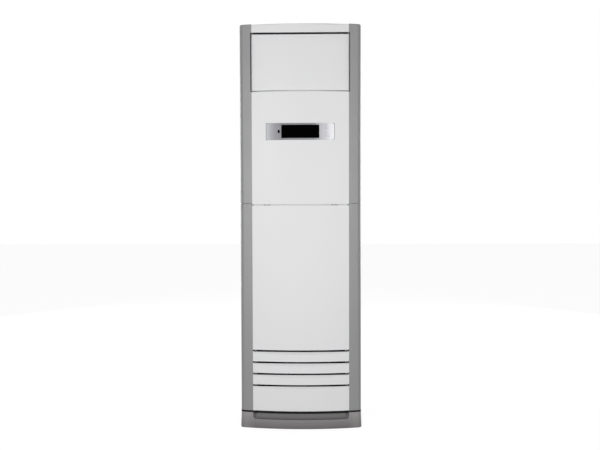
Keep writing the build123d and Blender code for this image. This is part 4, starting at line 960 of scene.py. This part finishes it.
@dataclass
class Display:
    """Silver surround with its dark window, four buttons with printed signs, and the board behind."""

    trim: Finish = BrushedTrim("silver_trim", tone(60))
    rim: Finish = Moulded("trim_rim", tone(112, 112, 118), 0.35, grain=Grain.POLISHED)
    lens: Finish = SmokedLens("smoked_lens", (0.0005, 0.0005, 0.0006))
    cap: Finish = Moulded("button_silver", tone(196, 196, 200), 0.3, (0.99, 1.01), specular=0.5,
                          grain=Grain.POLISHED, coat=0.2)
    board: Finish = Circuit("board_green", tone(30, 92, 52))
    ink: Finish = Moulded("printed_ink", tone(84, 84, 90), 0.6, grain=Grain.POLISHED, specular=0.2)
    sign_h: float = 2.1 * MM
    ring: Triple = (0.9, 125.0, 415.0)
    ring_pin: Pair = (0.1, 1.0)
    twist: float = 1.1
    wave: Pair = (0.28, 0.55)
    line_w: float = 0.32 * MM
    film: float = 0.05 * MM
    offset: float = 10.5 * MM
    rim_w: float = 2.0 * MM
    rim_h: float = 0.35 * MM
    rim_sunk: float = 0.02 * MM
    rim_corner: float = 5.2 * MM
    flange: float = 5.0 * MM
    bow: Arc = BOW

    def on_bow(self, flat: np.ndarray) -> tuple[np.ndarray, np.ndarray, np.ndarray]:
        """Lay a line of (x, z) points on the bowed front: y = axis - sqrt(R^2 - x^2).

        Args:
            flat: points of the line.

        Returns:
            The points in space, the unit vectors across the line and the unit vectors off the bow.
        """
        x, z = flat.T
        none = np.zeros(len(flat))
        step = np.gradient(flat, axis=0)
        step /= np.linalg.norm(step, axis=1, keepdims=True)
        depth = np.sqrt(self.bow.radius ** 2 - x ** 2)
        path = np.stack([x, self.bow.axis_y - depth, z], axis=1)
        up = np.stack([x, -depth, none], axis=1) / self.bow.radius
        return path, np.stack([step[:, 1], none, -step[:, 0]], axis=1), up

    def add_rim(self) -> None:
        """Low rounded rim along the surround's edge.

        The line is an oblong with rounded corners, half a rim inside the edge: the points of each corner are
        its centre + radius (cos t, sin t) for t over a quarter turn. A half ellipse of
        (rim_w / 2 cos s, rim_h sin s) is carried along it.
        """
        low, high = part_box("display_bezel")
        centre = np.array([(low.x + high.x) / 2, (low.z + high.z) / 2])
        half = np.array([high.x - low.x, high.z - low.z]) / 2 - self.flange - self.rim_w / 2
        corners = []
        for turn, sign in enumerate(((1, 1), (-1, 1), (-1, -1), (1, -1))):
            t = np.linspace(0.0, np.pi / 2, 9) + turn * np.pi / 2
            middle = centre + np.array(sign) * (half - self.rim_corner)
            corners.append(middle + self.rim_corner * np.stack([np.cos(t), np.sin(t)], axis=1))
        path, across, up = self.on_bow(np.concatenate([*corners, corners[0][:1]]))
        joint = across[0] + across[-1]
        across[[0, -1]] = joint / np.linalg.norm(joint)
        s = np.linspace(0.0, np.pi, 7)
        section = np.stack([self.rim_w / 2 * np.cos(s), self.rim_h * np.sin(s) - self.rim_sunk], axis=1)
        surface = Surface()
        surface.add(carried(path, across, up, section))
        surface.piece("surround_rim", "cabinet", self.rim.material(), sharp=50.0)

    def strokes(self, mark: Mark) -> list[np.ndarray]:
        """Lines of a sign, in a square from -1 to 1.

        POWER is an open ring, radius (cos t, sin t) from one angle to another in degrees, with a pin through
        its gap. MODE is three crossed strokes, FAN_SPEED three spirals s (cos t, sin t) whose t grows with
        the twist times s, and SWING three waves, height sin(pi s), one step apart.

        Args:
            mark: which sign.

        Returns:
            One array of (x, z) points for each line.
        """
        if mark is Mark.POWER:
            radius, start, end = self.ring
            t = np.radians(np.linspace(start, end, 33))
            pin = np.array([[0.0, z] for z in self.ring_pin])
            return [radius * np.stack([np.cos(t), np.sin(t)], axis=1), pin]
        if mark is Mark.MODE:
            ends = [np.array([math.cos(t), math.sin(t)]) for t in np.radians([0.0, 60.0, 120.0])]
            return [np.array([-end, end]) for end in ends]
        if mark is Mark.FAN_SPEED:
            s = np.linspace(0.0, 1.0, 13)
            turns = (t + self.twist * s for t in np.radians([90.0, 210.0, 330.0]))
            return [np.stack([s * np.cos(t), s * np.sin(t)], axis=1) for t in turns]
        s = np.linspace(-1.0, 1.0, 21)
        height, step = self.wave
        return [np.stack([s, height * np.sin(np.pi * s) + lift], axis=1) for lift in (-step, 0.0, step)]

    def add_signs(self) -> None:
        """Printed signs on the bowed surround, right of each button.

        A flat oblong profile is carried along each line, with its width across the line and its height off
        the bow, half of it sunk in the surround.
        """
        surface = Surface()
        section = np.array([(-1, -1), (1, -1), (1, 1), (-1, 1)]) * np.array([self.line_w / 2, self.film])
        low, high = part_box("button_power")
        x0 = (low.x + high.x) / 2 + self.offset
        for mark in Mark:
            low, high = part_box("button_" + mark.value)
            middle = np.array([x0, (low.z + high.z) / 2])
            for line in self.strokes(mark):
                surface.add_closed(carried(*self.on_bow(line * self.sign_h / 2 + middle), section))
        surface.piece("button_signs", "cabinet", self.ink.material())

    def build(self) -> None:
        """Dress the display's nodes, add the rim and print the signs."""
        dress(self.trim, "display_bezel")
        dress(self.lens, "display_lens")
        dress(self.cap, *("button_" + mark.value for mark in Mark))
        dress(self.board, "display_board", "control_board")
        self.add_rim()
        self.add_signs()


@dataclass
class Outlet:
    """Frame, blades, vanes, their links and motors, and the drive of the sliding door."""

    plastic: Finish = Moulded("outlet_plastic", tone(150, 152, 154), 0.5, specular=0.3)
    gear: Finish = Moulded("gear_plastic", tone(128, 128, 124), 0.4, grain=Grain.POLISHED)
    case: Finish = TurnedSteel("motor_case", tone(150, 152, 155), 0.38)
    blades: int = 4
    vanes: int = 6

    def build(self) -> None:
        """Dress the outlet's nodes."""
        dress(self.plastic, "outlet_frame", "louvre_link", "vane_link",
              *(f"louvre_blade_{k + 1}" for k in range(self.blades)),
              *(f"vane_{k + 1}" for k in range(self.vanes)))
        dress(self.gear, "door_rack", "door_pinion")
        dress(self.case, "door_motor", "louvre_motor", "vane_motor", "fan_motor")


@dataclass
class ShadeStrips:
    """Black pieces that paint shade: lips over the plinth, strips beside the door and strips lining the
    intake slots.
    """

    # black finish of the pieces that paint shade in the joints, gaps and slots
    shade_black: Finish = Moulded("painted_shade_black", tone(20, 20, 21), 0.7, grain=Grain.SPARK, specular=0.12)
    corner_x: float = 250.0 * MM
    corner_r: float = 20.0 * MM
    lip_t: float = 1.2 * MM
    lip_d: float = 2.0 * MM
    lip_z: Pair = (72.9 * MM, 77.9 * MM)
    # fringe: painted shade hung under the panel in the trough's mouth
    fringe_x: float = 213.4 * MM
    fringe_z: Pair = (67.5 * MM, 74.0 * MM)
    lap_z: float = 70.0 * MM
    lip_rear: float = -112.0 * MM
    panel_x: float = 215.4 * MM
    flank_x: float = 216.3 * MM
    # strips beside the door: painted shade in its side gaps
    strip_x: Pair = (218.6 * MM, 220.6 * MM)
    strip_y: Pair = (-169.5 * MM, -157.5 * MM)
    strip_z: Pair = (1504.8 * MM, 1764.2 * MM)
    slot_low: tuple[float, ...] = tuple((190.0 + 52.0 * k) * MM for k in range(4))
    slot_h: float = 7.5 * MM
    slot_x: float = 210.8 * MM
    scoop_r: float = 2000.0 * MM
    scoop_d: float = 12.0 * MM
    scoop_h: float = 13.0 * MM
    # strips over the slots' lower lips: painted shade in the slots
    shade_l: float = 2.8 * MM
    shade_back: float = 3.0 * MM
    shade_t: Pair = (0.05 * MM, 0.4 * MM)
    # end marks: painted shade that carries each slot on to the panel's edge
    end_shade_t: float = 0.6 * MM
    bow: Arc = BOW

    def add_lips(self) -> None:
        """Lips in the joint over the plinth: one under the intake panel, one under each pillar.

        The panel's lip has a fringe that hangs into the mouth of the finger trough, painted shade under the
        panel. The pillars' lips lap over the plinth's upper edge; they follow the bow, the round corner and
        the side.
        """
        lip = self.bow.inset(self.lip_d + self.lip_t / 2)
        under = Surface()
        for reach, (low, high) in ((self.panel_x, self.lip_z), (self.fringe_x, self.fringe_z)):
            edge = lip.angle(reach)
            under.add_level(lip.line(-edge, edge), (low + high) / 2, bead(self.lip_t, high - low))
        under.piece("panel_lip", "intake_panel", self.shade_black.material())
        inner = self.bow.inset(self.corner_r)
        turn = inner.angle(self.corner_x)
        round_corner = Arc(self.corner_r, inner.axis_y - inner.radius * math.cos(turn), self.corner_x)
        front, front_out = self.bow.line(self.bow.angle(self.flank_x), turn, count=13)
        corner, corner_out = round_corner.line(turn, math.pi / 2, count=13)
        points = np.concatenate([front, corner[1:], [(corner[-1, 0], self.lip_rear)]])
        out = np.concatenate([front_out, corner_out[1:], corner_out[-1:]])
        low, high = self.lap_z, self.lip_z[1]
        sides = Surface()
        for mirror in (np.array([-1.0, 1.0]), np.array([1.0, 1.0])):
            sides.add_level((points * mirror, out * mirror), (low + high) / 2, bead(self.lip_t, high - low))
        sides.piece("pillar_lips", "cabinet", self.shade_black.material())

    def add_strips(self) -> None:
        """Upright black strips on the pillars beside the closed door, painted shade in its side gaps."""
        surface = Surface()
        (left, right), (near, far) = self.strip_x, self.strip_y
        section = bead(right - left, far - near)
        for side in (-1.0, 1.0):
            path = np.array([[side * (left + right) / 2, (near + far) / 2, z] for z in self.strip_z])
            across, up = np.tile([1.0, 0.0, 0.0], (2, 1)), np.tile([0.0, 1.0, 0.0], (2, 1))
            surface.add_closed(carried(path, across, up, section))
        surface.piece("door_strips", "cabinet", self.shade_black.material())

    def add_slot_shades(self) -> None:
        """Black strips over the lower lips of the slots, painted shade in the slots, with a black mark at
        each end.

        A strip's profile lies on the top of the scoop's lip and folds down along its slope. It is carried
        along the scoop's flatter arc. An end mark, painted shade that carries the slot on to the panel's
        edge, is a flat bead carried along the panel's own bow.
        """
        surface = Surface()
        slope = np.array([self.scoop_d, -self.scoop_h]) / math.hypot(self.scoop_d, self.scoop_h)
        off = np.array([-slope[1], slope[0]])
        inner, outer = self.shade_t
        section = np.array([(-self.shade_back, inner), inner * off, self.shade_l * slope + inner * off,
                            self.shade_l * slope + outer * off, outer * off, (-self.shade_back, outer)])
        scoop = Arc(self.scoop_r, self.bow.axis_y - self.bow.radius + self.scoop_r).inset(self.scoop_d)
        end = scoop.angle(self.slot_x)
        # painted shade: a black mark at each slot's end, carried to the panel's edge
        clip = bead(self.end_shade_t, self.slot_h)
        end_shade_angles = self.bow.angle(self.slot_x), self.bow.angle(self.panel_x)
        for low in self.slot_low:
            surface.add_level(scoop.line(-end, end), low, section)
            for side in (-1.0, 1.0):
                surface.add_level(self.bow.line(*(side * angle for angle in end_shade_angles), count=5),
                                  low + self.slot_h / 2, clip)
        surface.piece("slot_shade_strips", "intake_panel", self.shade_black.material())

    def build(self) -> None:
        """Add all the black pieces of painted shade."""
        self.add_lips()
        self.add_strips()
        self.add_slot_shades()


@dataclass
class Interior:
    """Fan, coil, pipes, drain, duct, electric box and filter."""

    wheel: Finish = Moulded("impeller_plastic", tone(58, 60, 62), 0.55, specular=0.3)
    shaft: Finish = TurnedSteel("shaft_steel", tone(190, 190, 192), 0.22)
    foam: Finish = BeadFoam("foam", tone(232, 232, 228))
    fins: Finish = FinPack("fin_aluminium", tone(196, 204, 212))
    copper: Finish = WarmMetal("copper", tone(214, 140, 104))
    brass: Finish = WarmMetal("brass_union", tone(214, 184, 112), 0.26, bloom=tone(150, 116, 60))
    hose: Finish = RibbedHose("hose_grey", tone(186, 187, 188))
    black: Finish = Moulded("black_plastic", tone(44, 44, 46), 0.5, specular=0.35)
    # near black: the filter's own dark colour, darkened further as painted shade behind the intake slots
    net: Finish = FilterNet("filter_blue", tone(15, 16, 18))

    def build(self) -> None:
        """Dress the inner nodes."""
        dress(self.wheel, "fan_impeller")
        dress(self.shaft, "fan_shaft")
        dress(self.foam, "outlet_duct", "drain_pan")
        dress(self.fins, "evaporator_core")
        dress(self.copper, "evaporator_bends", "liquid_pipe", "gas_pipe")
        dress(self.brass, "pipe_unions")
        dress(self.hose, "drain_hose")
        dress(self.black, "terminal_block", "cable_gland")
        dress(self.net, "air_filter")


# Studio
@dataclass(frozen=True)
class Lamp:
    """Soft box: where it stands, where it points, its sides and its power in watts."""

    name: str
    place: Triple
    aim: Triple
    width: float
    height: float
    power: float

    def build(self) -> None:
        """Make the lamp."""
        light = bpy.data.lights.new(self.name, "AREA")
        light.shape = "RECTANGLE"
        light.size, light.size_y = self.width, self.height
        light.energy = self.power
        made = linked(self.name, light)
        made.location = self.place
        made.rotation_euler = (Vector(self.aim) - Vector(self.place)).to_track_quat("-Z", "Y").to_euler()


@dataclass
class Studio:
    """White room with a pale floor, soft boxes and the camera at the photograph's angle."""

    eye: Triple = (47.9 * MM, -3190.0 * MM, 1004.6 * MM)
    yaw: float = math.radians(-0.959)
    pitch: float = math.radians(-1.753)
    roll: float = math.radians(-0.173)
    focal_px: float = 677.5
    image_w: int = 600
    sensor: float = 36.0
    ambient: float = 0.44
    zenith: float = 0.5
    floor_light: float = 0.92
    floor_half: float = 14.0
    floor_z: float = -0.2 * MM
    paper: float = 0.14
    paper_mottle: float = 1.03
    paper_cloud: float = 0.5
    foot_x: float = 264.0 * MM
    foot_rear: float = 184.0 * MM
    foot_soft: float = 4.0 * MM
    bow: Arc = BOW
    lamps: tuple[Lamp, ...] = (
        Lamp("key_lamp", (-1.3, -3.5, 1.4), (0.0, -0.1, 1.1), 0.9, 1.5, 42.0),
        Lamp("fill_lamp", (1.35, -3.5, 1.4), (0.0, -0.1, 1.1), 0.9, 1.5, 28.0),
        Lamp("low_lamp", (0.0, -3.5, 0.4), (0.0, -0.1, 0.7), 2.4, 0.5, 24.0),
        Lamp("rear_left_lamp", (-3.0, 2.3, 1.3), (0.0, 0.1, 0.9), 1.6, 1.8, 62.0),
        Lamp("rear_right_lamp", (3.0, 2.3, 1.3), (0.0, 0.1, 0.9), 1.6, 1.8, 62.0),
    )

    def add_camera(self) -> None:
        """Camera whose axes come from the yaw, pitch and roll that the photograph gives."""
        level = math.cos(self.pitch)
        forward = np.array([math.sin(self.yaw) * level, math.cos(self.yaw) * level, math.sin(self.pitch)])
        right = np.cross(forward, (0.0, 0.0, 1.0))
        right /= np.linalg.norm(right)
        up = np.cross(right, forward)
        c, s = math.cos(self.roll), math.sin(self.roll)
        turned = np.stack([c * right + s * up, c * up - s * right, -forward], axis=1)
        data = bpy.data.cameras.new("camera")
        data.sensor_width = self.sensor
        data.lens = self.focal_px / self.image_w * self.sensor
        made = linked("camera", data)
        made.matrix_world = Matrix.Translation(self.eye) @ Matrix(turned.tolist()).to_4x4()
        bpy.context.scene.camera = made

    def add_world(self) -> None:
        """World that shows as the white backdrop and lights softly, less from above than from the sides."""
        graph = Graph("backdrop", world=True)
        fall = graph.spread(graph.axis("Z", "Generated"), self.ambient, self.ambient * self.zenith)
        lit, seen = (graph.node("Background", {"Color": WHITE, "Strength": strength}).outputs[0]
                     for strength in (fall, 1.0))
        graph.finish_by_ray("OutputWorld", lit, seen)
        bpy.context.scene.world = graph.owner

    def add_floor(self) -> None:
        """Pale floor: white to the camera but for the object's soft shadow and the dark under its plinth.

        The plinth's outline is the most of |x| less its half width, y less its rear and the distance from
        the bow's axis less its front's radius; the glow grows over the first millimetres outside it.
        """
        graph = Graph("floor_paper")
        pale = (self.paper,) * 3
        mottled = graph.mix(graph.noise(self.paper_cloud), pale, scaled(pale, self.paper_mottle))
        paper = graph.node("BsdfDiffuse", {"Color": mottled}).outputs[0]
        side = graph.maths("SUBTRACT", graph.maths("ABSOLUTE", graph.axis("X")), self.foot_x)
        rear = graph.maths("SUBTRACT", graph.axis("Y"), self.foot_rear)
        front = graph.maths("SUBTRACT", graph.from_axis(self.bow), self.bow.radius - self.foot_soft)
        outside = graph.maths("MAXIMUM", side, graph.maths("MAXIMUM", front, rear))
        strength = graph.spread(outside, 0.0, self.floor_light, 0.0, self.foot_soft)
        glow = graph.node("Emission", {"Color": WHITE, "Strength": strength}).outputs[0]
        graph.finish_by_ray("OutputMaterial", paper, graph.node("AddShader", {0: paper, 1: glow}).outputs[0])
        h, z = self.floor_half, self.floor_z
        mesh = bpy.data.meshes.new("floor")
        mesh.from_pydata([(-h, -h, z), (h, -h, z), (h, h, z), (-h, h, z)], [], [(0, 1, 2, 3)])
        mesh.materials.append(graph.owner)
        linked("floor", mesh)

    def build(self) -> None:
        """Set up the room."""
        bpy.context.scene.view_settings.view_transform = "Standard"
        self.add_camera()
        self.add_world()
        self.add_floor()
        for lamp in self.lamps:
            lamp.build()


def main() -> None:
    """Build every sub-assembly, then the studio."""
    logging.basicConfig(level=logging.INFO, format="%(message)s")
    for part in (Shell(), Display(), Outlet(), ShadeStrips(), Interior(), Studio()):
        part.build()
        log.info("%s done", type(part).__name__)


if __name__ == "__main__":
    main()
